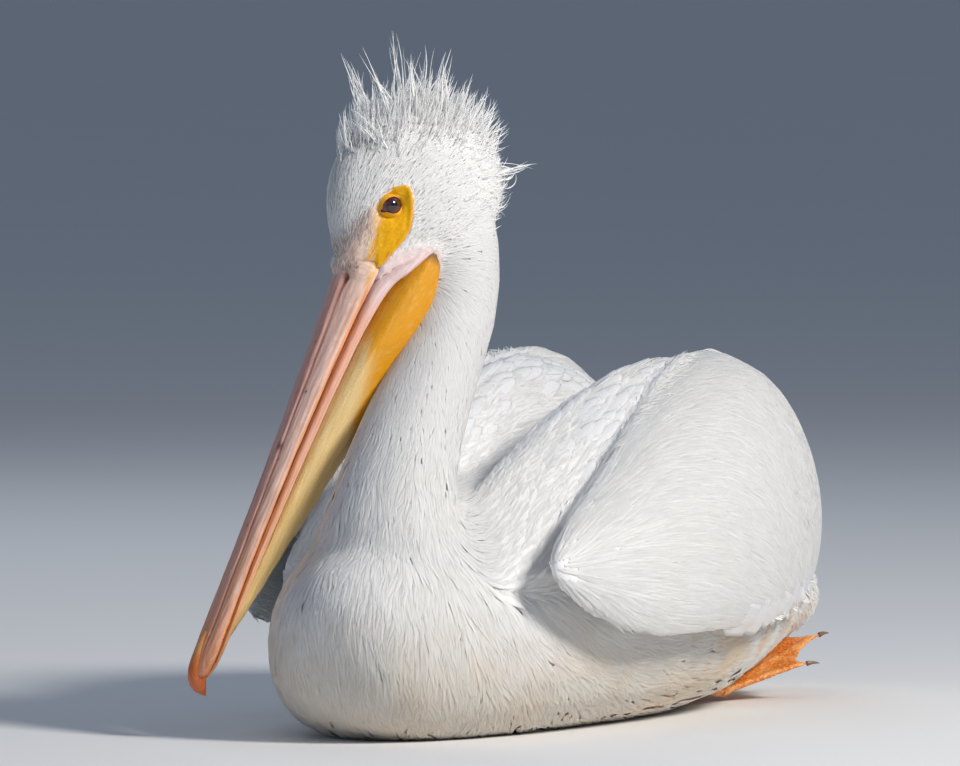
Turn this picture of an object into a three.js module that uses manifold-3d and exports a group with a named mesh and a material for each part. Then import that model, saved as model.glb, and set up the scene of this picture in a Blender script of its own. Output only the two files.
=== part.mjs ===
// American white pelican afloat, life size, as a still museum-type model.
// Frame: millimetres, +Z up, the bird faces -Y and its left side is +X.
// The floor is z = 0 and the belly stands on it with one flat.
// Each body part is built from short tables of sections, lofted with smooth
// curves, then parted from its neighbours by a thin cut.
import * as THREE from 'three';
import { mergeVertices } from 'three/addons/utils/BufferGeometryUtils.js';
import Module from 'manifold-3d';

const wasm = await Module();
wasm.setup();

// ---------------------------------------------------------------- dimensions
const GAP = 0.35;                 // clear gap between two parts
const BELLY_CUT = 0;              // level of the flat that the bird rests on

const HEAD_TURN = 33.9;           // degrees, head turned to the bird's right
const BILL_DIP = 67.5;            // degrees, bill below the horizontal
const BILL_ROOT = [-52.3, 1.6, 344]; // where the forehead feathers meet the culmen

const EYE_RADIUS = 9.6;
const EYE_AT = { along: -54, up: -9, side: 24.2 }; // centre, in the bill's axes

const FOOT_LENGTH = 112, FOOT_THICK = 5.2, TOE_RADIUS = 4.4;
const WEB_SPREAD = [-37, -12, 13, 38];  // degrees of the four toes
const FEATHER_EDGE = 3.2;         // thickness of a feather margin in the wing
const LEADING_EDGE = 0.62;        // bluntness of the wing's leading edge, of its thickness

// trunk sections: y, half width, lowest z, highest z
const TRUNK = [
  [-112, 14, 72, 100], [-104, 38, 40, 118], [-82, 63, 12, 136],
  [-38, 90, -4, 156], [30, 118, -9, 172], [130, 139, -9, 188],
  [240, 147, -9, 202], [330, 141, -3, 204], [405, 122, 11, 188],
  [470, 100, 27, 156], [530, 80, 38, 124], [578, 57, 46, 104], [603, 24, 58, 88]];

// neck sections: x, y, z, half width, half depth
const NECK = [
  [0, 26, 66, 88, 90], [0, 6, 94, 84, 84], [0, -9, 122, 71, 72],
  [0, -12, 150, 55, 57], [0, -5, 179, 45.5, 47], [0, 9, 208, 40.5, 42],
  [1, 33, 243, 36, 37], [4, 57, 278, 32, 34], [7, 74, 312, 30.5, 33],
  [7, 79, 345, 30.5, 34], [3, 77, 376, 31, 34], [-2, 70, 400, 25, 27]];

// head sections, square to the bill: along, front, back, half width
const HEAD = [
  [9, -5, -38, 16], [2, 1, -52, 21.5], [-14, 11, -72, 26.5], [-32, 23, -89, 32],
  [-52, 31, -101, 39], [-76, 32, -104, 44], [-100, 25, -100, 45],
  [-119, 11, -88, 40], [-133, -8, -71, 29], [-140, -24, -55, 14]];

// upper mandible sections: along, half width, ridge height, mouth height, edge drop
const BILL_UPPER = [
  [-16, 19, -3, -25, 9], [0, 21, 0, -22.5, 8], [28, 19.4, -0.8, -19.5, 6.5],
  [60, 17.8, -1.4, -17.2, 5], [110, 16, -1.8, -14.5, 3.6],
  [170, 15, -1.8, -11.6, 2.6], [230, 14.8, -1.2, -9.6, 2],
  [280, 15.8, -0.5, -8.8, 1.6], [304, 15.2, 0.4, -9, 2], [316, 11.4, 0.2, -9, 3]];

// hooked nail: along, half width, top, bottom
const NAIL = [[287, 3.2, 1.2, -5], [297, 5.2, 2.2, -6.5], [308, 6.4, 2.6, -9],
  [319, 6.8, 1.4, -13], [327, 5.4, -2.6, -16.5], [331, 2.8, -9, -18]];

// lower mandible: along, half width, top, bottom
const BILL_LOWER = [
  [-34, 31, -44, -57], [-16, 28, -34, -47], [2, 23.6, -23.5, -39],
  [28, 20.4, -20.4, -33.5], [60, 18.6, -18, -29.5], [110, 16.6, -15.4, -25.4],
  [170, 15.2, -12.6, -21], [230, 14.4, -10.6, -17.4], [280, 14.6, -9.8, -15],
  [303, 12.6, -10, -14.6], [315, 7, -10.6, -14.2]];

// pouch: along, half width, top, lowest edge
const POUCH = [
  [-42, 29, -50, -66], [-26, 32, -46, -82], [0, 31, -38, -92],
  [30, 27, -33, -91], [64, 22, -29.5, -80], [100, 18, -26, -67],
  [140, 14.5, -23, -55], [185, 11.5, -20, -44.5], [225, 9, -17.6, -34.5],
  [262, 6.6, -15.6, -25.5], [286, 4, -15, -19.5]];

// shoulder feather mass: y, x, z, half width, up, down, lean
const SHOULDER = [
  [-30, 58, 112, 16, 12, 16, -0.3], [-2, 64, 116, 36, 28, 30, -0.36],
  [50, 70, 130, 49, 50, 44, -0.38], [110, 77, 148, 54, 65, 60, -0.38],
  [180, 80, 166, 56, 77, 80, -0.34], [250, 77, 181, 52, 83, 90, -0.26],
  [320, 73, 187, 47, 83, 90, -0.16], [395, 68, 178, 42, 74, 84, -0.08],
  [452, 60, 162, 33, 58, 66, 0], [500, 50, 148, 23, 34, 42, 0], [528, 44, 142, 9, 12, 14, 0]];

// wing shell: y, ridge x, ridge z, outermost x, lower edge x, lower edge z, thickness
const WING = [
  [-7, 131, 134, 134, 131, 120, 7], [0, 129, 143, 141, 136, 109, 15],
  [22, 126, 158, 153, 144, 92, 22], [50, 123, 172, 165, 154, 80, 25],
  [84, 119, 188, 175, 163, 71, 26], [130, 112, 211, 182, 170, 68, 26],
  [190, 101, 236, 185, 172, 69, 26], [250, 88, 258, 183, 169, 71, 25],
  [310, 74, 272, 175, 161, 74, 24], [365, 67, 273, 161, 148, 81, 23],
  [415, 66, 257, 140, 130, 89, 21], [460, 63, 230, 118, 111, 94, 18],
  [500, 56, 204, 98, 92, 99, 15], [540, 46, 172, 74, 69, 107, 11],
  [572, 36, 147, 50, 47, 118, 7]];

// folded primaries: y, x, z, half width, half thickness, roll in degrees
const PRIMARIES = [
  [330, 138, 112, 17, 5, -62], [400, 116, 114, 20, 6, -56],
  [470, 86, 118, 20, 6.5, -46], [530, 60, 134, 17, 6, -34],
  [580, 38, 142, 11, 4, -26], [610, 27, 144, 3.6, 1.6, -22]];

// tail fan: y, half width, z, half thickness
const TAIL = [[440, 24, 156, 9], [490, 31, 143, 9], [535, 36, 128, 7.5],
  [578, 38, 114, 5], [606, 33, 106, 3.2], [616, 24, 104, 2]];

// crest tips in the head's own plane: forward, up, to the left, from the head's middle
const CREST = [
  [57, 90, -10], [50, 96, 11], [16, 106.5, -5], [12, 90, 16], [-8, 96.5, 0],
  [-16, 83.5, 15], [-36, 93, -11], [-42, 75, 12], [-60, 64, 0], [-76, 56, -12],
  [-103, 19, 0], [-76, 14, 15], [-80, -13, -6], [53, 50, 3], [38, 78, -20], [-12, 86, -24]];
const CREST_ROOT_RADIUS = 6.5, CREST_TIP_RADIUS = 0.5, CREST_CAP = 4.5;

const COLOR = { white: 0xf1f2ef, crest: 0xf6f5f1, bill: 0xd39a8a, nail: 0xdc7d2a,
  lower: 0xe8b49c, pouch: 0xe2b23a, iris: 0x3c2326, primary: 0x24211f,
  tail: 0xecebe6, foot: 0xd9792c };

// -------------------------------------------------------------------- helpers
const V = (x, y, z) => new THREE.Vector3(x, y, z);
const rad = THREE.MathUtils.degToRad;

// Catmull-Rom through the rows of a table, at count + 1 even steps
function smoothRows(rows, count) {
  const at = i => rows[Math.min(rows.length - 1, Math.max(0, i))];
  return Array.from({ length: count + 1 }, (_, k) => {
    const u = (k / count) * (rows.length - 1);
    const i = Math.min(rows.length - 2, Math.floor(u)), t = u - i;
    return at(i).map((_, c) => {
      const p0 = at(i - 1)[c], p1 = at(i)[c], p2 = at(i + 1)[c], p3 = at(i + 2)[c];
      return 0.5 * (2 * p1 + (p2 - p0) * t + (2 * p0 - 5 * p1 + 4 * p2 - p3) * t * t
        + (3 * p1 - p0 - 3 * p2 + p3) * t * t * t);
    });
  });
}

// closed superellipse; (side, up) in the section's plane, with its own
// exponent and reach above and below the centre
function ring(count, w, up, down, nUp = 2, nDown = 2) {
  const pts = [];
  for (let k = 0; k < count; k++) {
    const a = (k / count) * Math.PI * 2;
    const c = Math.cos(a), s = Math.sin(a);
    const n = s >= 0 ? nUp : nDown;
    pts.push([Math.sign(c) * Math.abs(c) ** (2 / n) * w,
      Math.sign(s) * Math.abs(s) ** (2 / n) * (s >= 0 ? up : down)]);
  }
  return pts;
}

// loops of equal length into one closed mesh with a fan at each end
function skinLoops(loops) {
  const n = loops[0].length, pos = [], idx = [];
  for (const loop of loops) for (const p of loop) pos.push(p.x, p.y, p.z);
  const cap = loop => {
    const c = V(0, 0, 0);
    loop.forEach(p => c.add(p));
    c.multiplyScalar(1 / n);
    pos.push(c.x, c.y, c.z);
    return pos.length / 3 - 1;
  };
  for (let i = 0; i < loops.length - 1; i++) {
    for (let k = 0; k < n; k++) {
      const a = i * n + k, b = i * n + (k + 1) % n, c = a + n, d = b + n;
      idx.push(a, b, d, a, d, c);
    }
  }
  const first = cap(loops[0]), last = cap(loops[loops.length - 1]);
  const base = (loops.length - 1) * n;
  for (let k = 0; k < n; k++) {
    idx.push(first, (k + 1) % n, k);
    idx.push(last, base + k, base + (k + 1) % n);
  }
  const g = new THREE.BufferGeometry();
  g.setAttribute('position', new THREE.Float32BufferAttribute(pos, 3));
  g.setIndex(idx);
  return facedOut(g);
}

function signedVolume(g) {
  const p = g.attributes.position, ix = g.index;
  const a = V(), b = V(), c = V();
  let v = 0;
  for (let i = 0; i < ix.count; i += 3) {
    a.fromBufferAttribute(p, ix.getX(i));
    b.fromBufferAttribute(p, ix.getX(i + 1));
    c.fromBufferAttribute(p, ix.getX(i + 2));
    v += a.dot(b.cross(c)) / 6;
  }
  return v;
}

function facedOut(g) {
  if (signedVolume(g) < 0) {
    const ix = g.index;
    for (let i = 0; i < ix.count; i += 3) {
      const t = ix.getX(i + 1);
      ix.setX(i + 1, ix.getX(i + 2));
      ix.setX(i + 2, t);
    }
  }
  return g;
}

function bare(g) {
  const b = g.clone();
  for (const name of Object.keys(b.attributes)) if (name !== 'position') b.deleteAttribute(name);
  return facedOut(mergeVertices(b, 1e-4));
}

function solid(g) {
  const m = bare(g);
  return new wasm.Manifold(new wasm.Mesh({
    numProp: 3,
    vertProperties: new Float32Array(m.attributes.position.array),
    triVerts: new Uint32Array(m.index.array),
  }));
}

// the same surface moved out by a distance square to each of its faces
function grown(g, by) {
  const m = bare(g);
  const p = m.attributes.position, ix = m.index;
  const faces = Array.from({ length: p.count }, () => []);
  for (let i = 0; i < ix.count; i += 3) {
    const t = [0, 1, 2].map(k => ix.getX(i + k));
    const q = t.map(k => V().fromBufferAttribute(p, k));
    const n = q[1].clone().sub(q[0]).cross(q[2].clone().sub(q[0])).normalize();
    t.forEach((k, c) => {
      const e1 = q[(c + 1) % 3].clone().sub(q[c]), e2 = q[(c + 2) % 3].clone().sub(q[c]);
      faces[k].push({ n, angle: e1.angleTo(e2) });
    });
  }
  faces.forEach((list, k) => {
    const n = V();
    list.forEach(f => n.addScaledVector(f.n, f.angle));
    n.normalize();
    const least = Math.min(...list.map(f => f.n.dot(n)));
    const d = by / Math.max(0.25, least);
    p.setXYZ(k, p.getX(k) + n.x * d, p.getY(k) + n.y * d, p.getZ(k) + n.z * d);
  });
  return m;
}

// keep the largest body of a cut, so that no sliver stays behind
function biggest(man) {
  const bodies = man.decompose();
  bodies.sort((a, b) => b.volume() - a.volume());
  return bodies[0];
}

function toGeometry(man) {
  const m = man.getMesh();
  let g = new THREE.BufferGeometry();
  const p = new Float32Array(m.numVert * 3);
  for (let i = 0; i < m.numVert; i++) for (let c = 0; c < 3; c++) p[i * 3 + c] = m.vertProperties[i * m.numProp + c];
  g.setAttribute('position', new THREE.BufferAttribute(p, 3));
  g.setIndex(Array.from(m.triVerts));
  return g;
}

const cutBy = (man, ...others) => biggest(others.reduce((m, g) => m.subtract(solid(grown(g, GAP))), man));

// everything under the resting level
function underFloor() {
  const g = new THREE.BoxGeometry(3000, 3000, 400);
  g.translate(0, 0, BELLY_CUT - 200);
  return solid(g);
}
const mirrorX = g => {
  const m = bare(g);
  m.scale(-1, 1, 1);
  return facedOut(m);
};

// ---------------------------------------------------------- the bill's own axes
const faceDir = V(-Math.sin(rad(HEAD_TURN)), -Math.cos(rad(HEAD_TURN)), 0);
const billAlong = faceDir.clone().multiplyScalar(Math.cos(rad(BILL_DIP))).add(V(0, 0, -Math.sin(rad(BILL_DIP))));
const billUp = faceDir.clone().multiplyScalar(Math.sin(rad(BILL_DIP))).add(V(0, 0, Math.cos(rad(BILL_DIP))));
const billSide = V(0, 0, 1).cross(faceDir);
const billRoot = V(...BILL_ROOT);
const onBill = (along, up, side) => billRoot.clone()
  .addScaledVector(billAlong, along).addScaledVector(billUp, up).addScaledVector(billSide, side);

// ----------------------------------------------------------------- body shapes
const trunkGeo = skinLoops(smoothRows(TRUNK, 17).map(([y, w, lo, hi]) => {
  const mid = lo + (hi - lo) * 0.46;
  return ring(22, w, hi - mid, mid - lo, 1.9, 2.5).map(([s, u]) => V(s, y, mid + u));
}));

// sections stand square to the line that joins their centres
function tube(rows, count, n = 2) {
  return skinLoops(rows.map(([x, y, z, w, d], i) => {
    const a = rows[Math.max(0, i - 1)], b = rows[Math.min(rows.length - 1, i + 1)];
    const t = V(b[0] - a[0], b[1] - a[1], b[2] - a[2]).normalize();
    const front = V(0, -1, 0).addScaledVector(t, t.y).normalize();
    const side = t.clone().cross(front).normalize();
    return ring(count, w, d, d, n, n).map(([s, u]) =>
      V(x, y, z).addScaledVector(side, s).addScaledVector(front, u));
  }));
}
const neckGeo = tube(smoothRows(NECK, 14), 16);

const headGeo = skinLoops(smoothRows(HEAD, 13).map(([along, front, back, w]) => {
  const mid = back + (front - back) * 0.44;
  return ring(16, w, front - mid, mid - back, 1.8, 2.15).map(([s, u]) => onBill(along, mid + u, s));
}));

// flat-topped bill section with a low ridge in the middle and a mouth edge below
const billUpperGeo = skinLoops(smoothRows(BILL_UPPER, 10).map(([along, w, top, mouth, drop]) => {
  const edge = top - drop;
  const prof = [[0, top], [0.3, top - drop * 0.12], [0.48, top - drop * 0.5], [0.8, edge - (edge - mouth) * 0.1],
    [1, edge - (edge - mouth) * 0.5], [0.97, mouth], [0.55, mouth + 1.2]];
  const half = prof.map(([s, u]) => [s * w, u]);
  const loop = [...half, [0, mouth + 2], ...half.slice(1).reverse().map(([s, u]) => [-s, u])];
  return loop.map(([s, u]) => onBill(along, u, s));
}));
const nailGeo = skinLoops(smoothRows(NAIL, 7).map(([along, w, top, bottom]) =>
  ring(8, w, (top - bottom) / 2, (top - bottom) / 2, 2.3, 2).map(([s, u]) => onBill(along, (top + bottom) / 2 + u, s))));
const billLowerGeo = skinLoops(smoothRows(BILL_LOWER, 11).map(([along, w, top, bottom]) =>
  ring(10, w, (top - bottom) / 2, (top - bottom) / 2, 3, 2.6).map(([s, u]) => onBill(along, (top + bottom) / 2 + u, s))));
const pouchGeo = skinLoops(smoothRows(POUCH, 11).map(([along, w, top, low]) => {
  const mid = top - (top - low) * 0.22;
  return ring(10, w, top - mid, mid - low, 2.4, 1.7).map(([s, u]) => onBill(along, mid + u, s));
}));

// head width at the eye differs from side to side only by sign
function eyeGeo(sign) {
  const g = new THREE.SphereGeometry(EYE_RADIUS, 10, 7);
  const c = onBill(EYE_AT.along, EYE_AT.up, sign * EYE_AT.side);
  g.translate(c.x, c.y, c.z);
  return g;
}
// shallow dish of bare skin round the eye
function orbitGeo(sign) {
  const g = new THREE.SphereGeometry(1, 10, 6);
  const m = new THREE.Matrix4().makeBasis(
    billAlong.clone().multiplyScalar(27), billUp.clone().multiplyScalar(19), billSide.clone().multiplyScalar(13));
  if (m.determinant() < 0) m.multiply(new THREE.Matrix4().makeScale(-1, 1, 1));
  m.setPosition(onBill(EYE_AT.along + 6, EYE_AT.up, sign * 43));
  g.applyMatrix4(m);
  return g;
}

// crest: a thin cap over crown and nape with tapering wisps
const headMiddle = onBill(-76, -38, 0);
const up = V(0, 0, 1);
function crestSolid() {
  const capCut = new THREE.BoxGeometry(400, 400, 200);
  capCut.translate(0, 0, 100);
  capCut.applyMatrix4(new THREE.Matrix4().makeBasis(billSide, faceDir.clone().negate().applyAxisAngle(billSide, rad(-22)),
    up.clone().applyAxisAngle(billSide, rad(-22))).setPosition(headMiddle.clone().addScaledVector(up, 33)));
  let man = solid(grown(headGeo, CREST_CAP)).intersect(solid(capCut));
  for (const [f, u, s] of CREST) {
    const tip = headMiddle.clone().addScaledVector(faceDir, f).addScaledVector(up, u).addScaledVector(billSide, s);
    const from = headMiddle.clone().addScaledVector(faceDir, f * 0.42).addScaledVector(up, u * 0.44 - 4).addScaledVector(billSide, s * 0.7);
    const dir = tip.clone().sub(from);
    const sway = billSide.clone().multiplyScalar(dir.length() * 0.03);
    const rows = [0, 0.5, 0.8, 1].map(t => {
      const p = from.clone().addScaledVector(dir, t).addScaledVector(sway, Math.sin(t * Math.PI));
      const r = THREE.MathUtils.lerp(CREST_ROOT_RADIUS, CREST_TIP_RADIUS, t ** 0.8);
      return { p, r };
    });
    const ax = dir.clone().normalize();
    const sd = ax.clone().cross(billSide).normalize(), st = ax.clone().cross(sd);
    man = man.add(solid(skinLoops(rows.map(({ p, r }) => ring(4, r, r, r).map(([a, b]) =>
      p.clone().addScaledVector(sd, a).addScaledVector(st, b))))));
  }
  return man;
}

const shoulderGeo = skinLoops(smoothRows(SHOULDER, 12).map(([y, x, z, w, hi, lo, lean]) =>
  ring(12, w, hi, lo, 1.9, 2).map(([s, u]) => V(x + s + (u > 0 ? lean * u : 0), y, z + u))));

// wing section: out over the ridge, down the bulge to the lower edge and back inside
function wingLoop([y, xt, zt, xo, xe, ze, th]) {
  const h = zt - ze, w = xo - xt;
  const outer = new THREE.CubicBezierCurve(
    new THREE.Vector2(xt, zt), new THREE.Vector2(xt + w * 0.82 + 2, zt + h * 0.01),
    new THREE.Vector2(xo + w * 0.22 + 4, ze + h * 0.34), new THREE.Vector2(xe, ze));
  const inner = new THREE.CubicBezierCurve(
    new THREE.Vector2(xe - FEATHER_EDGE, ze + 1), new THREE.Vector2(xo + w * 0.22 + 4 - th * 1.25, ze + h * 0.34),
    new THREE.Vector2(xt + w * 0.82 - th * 1.1, zt - th * 1.25), new THREE.Vector2(xt - th * LEADING_EDGE * 0.75, zt - Math.min(th * LEADING_EDGE, h * 0.4)));
  return [...outer.getPoints(10), ...inner.getPoints(6)].map(p => V(p.x, y, p.y));
}
const wingGeo = skinLoops(smoothRows(WING, 16).map(wingLoop));

const primariesGeo = skinLoops(smoothRows(PRIMARIES, 6).map(([y, x, z, w, t, roll]) => {
  const c = Math.cos(rad(roll)), s = Math.sin(rad(roll));
  return ring(8, w, t, t, 2, 2).map(([a, b]) => V(x + a * c - b * s, y, z + a * s + b * c));
}));

const tailGeo = skinLoops(smoothRows(TAIL, 6).map(([y, w, z, t]) =>
  ring(12, w, t, t, 2.2, 2.2).map(([s, u]) => V(s, y - (s / w) ** 2 * 8, z + u - (s / w) ** 2 * 9))));

// webbed foot: four toes from the heel, a thin web with hollowed edges between them
function footParts() {
  const toe = WEB_SPREAD.map((deg, i) => {
    const len = FOOT_LENGTH * [0.82, 1, 0.97, 0.62][i];
    return { a: rad(90 - deg), len };
  });
  const shape = new THREE.Shape();
  shape.moveTo(0, -6);
  toe.forEach(({ a, len }, i) => {
    const tip = [Math.cos(a) * len * 0.95, Math.sin(a) * len * 0.95];
    if (i === 0) shape.lineTo(...tip);
    else {
      const p = toe[i - 1];
      const m = (p.a + a) / 2, r = Math.min(p.len, len) * 0.8;
      shape.quadraticCurveTo(Math.cos(m) * r, Math.sin(m) * r, ...tip);
    }
  });
  shape.lineTo(0, -6);
  const web = new THREE.ExtrudeGeometry(shape, { depth: FOOT_THICK * 0.55, bevelEnabled: false, curveSegments: 3 });
  let man = solid(web);
  for (const { a, len } of toe) {
    const dir = V(Math.cos(a), Math.sin(a), 0);
    const sd = V(-dir.y, dir.x, 0);
    const rows = [-0.06, 0.4, 0.86, 1.06].map((t, i) => ({
      p: dir.clone().multiplyScalar(t * len).add(V(0, 0, FOOT_THICK * 0.3 - (i === 3 ? 2 : 0))),
      r: TOE_RADIUS * [1.15, 0.94, 0.68, 0.22][i] }));
    man = man.add(solid(skinLoops(rows.map(({ p, r }) => ring(5, r, r * 0.8, r * 0.8).map(([s, u]) =>
      p.clone().addScaledVector(sd, s).add(V(0, 0, u)))))));
  }
  return toGeometry(man);
}
const FOOT_HEEL = [60, 414, 7.5], FOOT_OUT = -6, FOOT_RISE = 22;
const footGeo = footParts();
footGeo.applyMatrix4(new THREE.Matrix4().makeRotationFromEuler(new THREE.Euler(rad(FOOT_RISE), 0, rad(FOOT_OUT), 'ZXY'))
  .setPosition(...FOOT_HEEL));
const legGeo = tube([[57, 334, 34, 10, 10], [58, 364, 23, 9, 9], [59, 388, 14, 7.5, 7.5], [60, 404, 9, 6, 6]], 8);

// ------------------------------------------------------------- cuts and joins
const floor = underFloor();
const pieces = {};
const neckSolid = () => cutBy(solid(neckGeo), headGeo, trunkGeo);

pieces.trunk = [biggest(solid(trunkGeo).subtract(floor)), COLOR.white];
pieces.neck = [neckSolid(), COLOR.white];
pieces.head = [cutBy(solid(headGeo).subtract(solid(orbitGeo(1))).subtract(solid(orbitGeo(-1))),
  eyeGeo(1), eyeGeo(-1), billUpperGeo, billLowerGeo), COLOR.white];
pieces.crest = [cutBy(crestSolid(), headGeo, neckGeo), COLOR.crest];
pieces.eye_left = [solid(eyeGeo(1)), COLOR.iris];
pieces.eye_right = [solid(eyeGeo(-1)), COLOR.iris];
pieces.bill_upper = [cutBy(solid(billUpperGeo), nailGeo), COLOR.bill];
pieces.bill_nail = [solid(nailGeo), COLOR.nail];
pieces.bill_lower = [cutBy(solid(billLowerGeo), billUpperGeo, nailGeo), COLOR.lower];
pieces.pouch = [cutBy(solid(pouchGeo), billLowerGeo, billUpperGeo, headGeo, neckGeo), COLOR.pouch];

for (const [side, flip] of [['left', g => g], ['right', mirrorX]]) {
  const sh = flip(shoulderGeo), wi = flip(wingGeo), pr = flip(primariesGeo), ft = flip(footGeo), lg = flip(legGeo);
  pieces[`shoulder_${side}`] = [cutBy(solid(sh), trunkGeo, neckGeo), COLOR.white];
  pieces[`wing_${side}`] = [cutBy(solid(wi), sh, trunkGeo), COLOR.white];
  pieces[`primaries_${side}`] = [cutBy(solid(pr), wi, trunkGeo, sh), COLOR.primary];
  pieces[`foot_${side}`] = [cutBy(solid(ft).subtract(floor), trunkGeo), COLOR.foot];
  pieces[`leg_${side}`] = [cutBy(solid(lg).subtract(floor), trunkGeo, ft), COLOR.foot];
}
pieces.tail = [cutBy(solid(tailGeo), trunkGeo, primariesGeo, mirrorX(primariesGeo),
  shoulderGeo, mirrorX(shoulderGeo)), COLOR.tail];

// --------------------------------------------------------------------- scene
const group = new THREE.Group();
group.name = 'pelican';
const box = new THREE.Box3();
for (const [name, [man, color]] of Object.entries(pieces)) {
  const mesh = new THREE.Mesh(toGeometry(man), new THREE.MeshStandardMaterial({
    color, roughness: name.startsWith('eye') ? 0.1 : name.startsWith('bill') ? 0.45 : 0.8, metalness: 0 }));
  mesh.name = name;
  mesh.geometry.computeBoundingBox();
  box.union(mesh.geometry.boundingBox);
  group.add(mesh);
}
// origin under the middle of the whole bird, on the floor
const middle = box.getCenter(V(0, 0, 0));
group.position.set(-Math.round(middle.x * 10) / 10, -Math.round(middle.y * 10) / 10, 0);

export default group;
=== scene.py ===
# Looks of the pelican: one skin under a coat of solid feathers, a carved bill,
# eyes, bare face skin and webbed feet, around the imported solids.
# Metres, +Z up, the bird faces -Y and its left side is +X.
import math
import time

import bmesh
import bpy
import numpy as np
from mathutils import Matrix, Vector
from mathutils.bvhtree import BVHTree


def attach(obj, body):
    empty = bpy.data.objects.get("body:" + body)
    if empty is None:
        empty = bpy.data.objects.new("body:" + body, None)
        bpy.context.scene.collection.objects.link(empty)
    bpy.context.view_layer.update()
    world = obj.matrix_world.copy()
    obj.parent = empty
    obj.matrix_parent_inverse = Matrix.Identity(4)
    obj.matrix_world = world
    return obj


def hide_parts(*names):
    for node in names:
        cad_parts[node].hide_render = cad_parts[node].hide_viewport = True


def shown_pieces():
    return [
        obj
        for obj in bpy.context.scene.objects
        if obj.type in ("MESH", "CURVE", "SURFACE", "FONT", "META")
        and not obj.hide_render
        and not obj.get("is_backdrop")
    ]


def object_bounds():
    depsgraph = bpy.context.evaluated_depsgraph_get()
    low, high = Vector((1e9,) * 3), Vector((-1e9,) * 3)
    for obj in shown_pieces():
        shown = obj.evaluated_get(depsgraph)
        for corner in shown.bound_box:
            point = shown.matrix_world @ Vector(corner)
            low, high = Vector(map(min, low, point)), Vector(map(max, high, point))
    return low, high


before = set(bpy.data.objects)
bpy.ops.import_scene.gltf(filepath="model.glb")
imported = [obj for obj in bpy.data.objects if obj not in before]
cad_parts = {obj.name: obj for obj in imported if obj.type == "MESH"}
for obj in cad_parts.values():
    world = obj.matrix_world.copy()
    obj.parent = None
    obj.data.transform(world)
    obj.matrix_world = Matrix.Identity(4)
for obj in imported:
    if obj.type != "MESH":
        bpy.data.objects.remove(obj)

T0 = time.perf_counter()
CAD_BOX = [[float(c) for c in corner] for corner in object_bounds()]
MM = 0.001
SHIFT = np.array([0.0, -252.0, 0.0])  # the tables' origin is the base of the neck


def said(*words):
    print("[%6.1f s]" % (time.perf_counter() - T0), *words, flush=True)


# ------------------------------------------------------------------ dimensions
HEAD_TURN = math.radians(33.9)
BILL_DIP = math.radians(67.5)
BILL_ROOT = np.array([-52.3, 1.6, 344.0]) + SHIFT
EYE_RADIUS = 9.6
EYE_ALONG, EYE_UP, EYE_SIDE = -54.0, -9.0, 24.2
BALL, BALL_OUT = 8.5, 1.1                 # the visible ball, and how far its middle lies outside the solid's

BILL_UPPER = [
    [-16, 19, -3, -25, 9], [0, 21, 0, -22.5, 8], [28, 19.4, -0.8, -19.5, 6.5],
    [60, 17.8, -1.4, -17.2, 5], [110, 16, -1.8, -14.5, 3.6],
    [170, 15, -1.8, -11.6, 2.6], [230, 14.8, -1.2, -9.6, 2],
    [280, 15.8, -0.5, -8.8, 1.6], [304, 15.2, 0.4, -9, 2], [316, 11.4, 0.2, -9, 3]]
NAIL = [
    [287, 3.2, 1.2, -5], [297, 5.2, 2.2, -6.5], [308, 6.4, 2.6, -9],
    [319, 6.8, 1.4, -13], [327, 5.4, -2.6, -16.5], [331, 2.8, -9, -18]]
BILL_LOWER = [
    [-34, 31, -44, -57], [-16, 28, -34, -47], [2, 23.6, -23.5, -39],
    [28, 20.4, -20.4, -33.5], [60, 18.6, -18, -29.5], [110, 16.6, -15.4, -25.4],
    [170, 15.2, -12.6, -21], [230, 14.4, -10.6, -17.4], [280, 14.6, -9.8, -15],
    [303, 12.6, -10, -14.6], [315, 7, -10.6, -14.2]]
POUCH = [
    [-42, 29, -50, -66], [-26, 32, -46, -82], [0, 31, -38, -92],
    [30, 27, -33, -91], [64, 22, -29.5, -80], [100, 18, -26, -67],
    [140, 14.5, -23, -55], [185, 11.5, -20, -44.5], [225, 9, -17.6, -34.5],
    [262, 6.6, -15.6, -25.5], [286, 4, -15, -19.5]]
SHOULDER = [
    [-30, 58, 112, 16, 12, 16, -0.3], [-2, 64, 116, 36, 28, 30, -0.36],
    [50, 70, 130, 49, 50, 44, -0.38], [110, 77, 148, 54, 65, 60, -0.38],
    [180, 80, 166, 56, 77, 80, -0.34], [250, 77, 181, 52, 83, 90, -0.26],
    [320, 73, 187, 47, 83, 90, -0.16], [395, 68, 178, 42, 74, 84, -0.08],
    [452, 60, 162, 33, 58, 66, 0], [500, 50, 148, 23, 34, 42, 0], [528, 44, 142, 9, 12, 14, 0]]
WING = [
    [-7, 131, 134, 134, 131, 120, 7], [0, 129, 143, 141, 136, 109, 15],
    [22, 126, 158, 153, 144, 92, 22], [50, 123, 172, 165, 154, 80, 25],
    [84, 119, 188, 175, 163, 71, 26], [130, 112, 211, 182, 170, 68, 26],
    [190, 101, 236, 185, 172, 69, 26], [250, 88, 258, 183, 169, 71, 25],
    [310, 74, 272, 175, 161, 74, 24], [365, 67, 273, 161, 148, 81, 23],
    [415, 66, 257, 140, 130, 89, 21], [460, 63, 230, 118, 111, 94, 18],
    [500, 56, 204, 98, 92, 99, 15], [540, 46, 172, 74, 69, 107, 11],
    [572, 36, 147, 50, 47, 118, 7]]
PRIMARIES = [
    [330, 138, 112, 17, 5, -62], [400, 116, 114, 20, 6, -56],
    [470, 86, 118, 20, 6.5, -46], [530, 60, 134, 17, 6, -34],
    [580, 38, 142, 11, 4, -26], [610, 27, 144, 3.6, 1.6, -22]]
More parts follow.
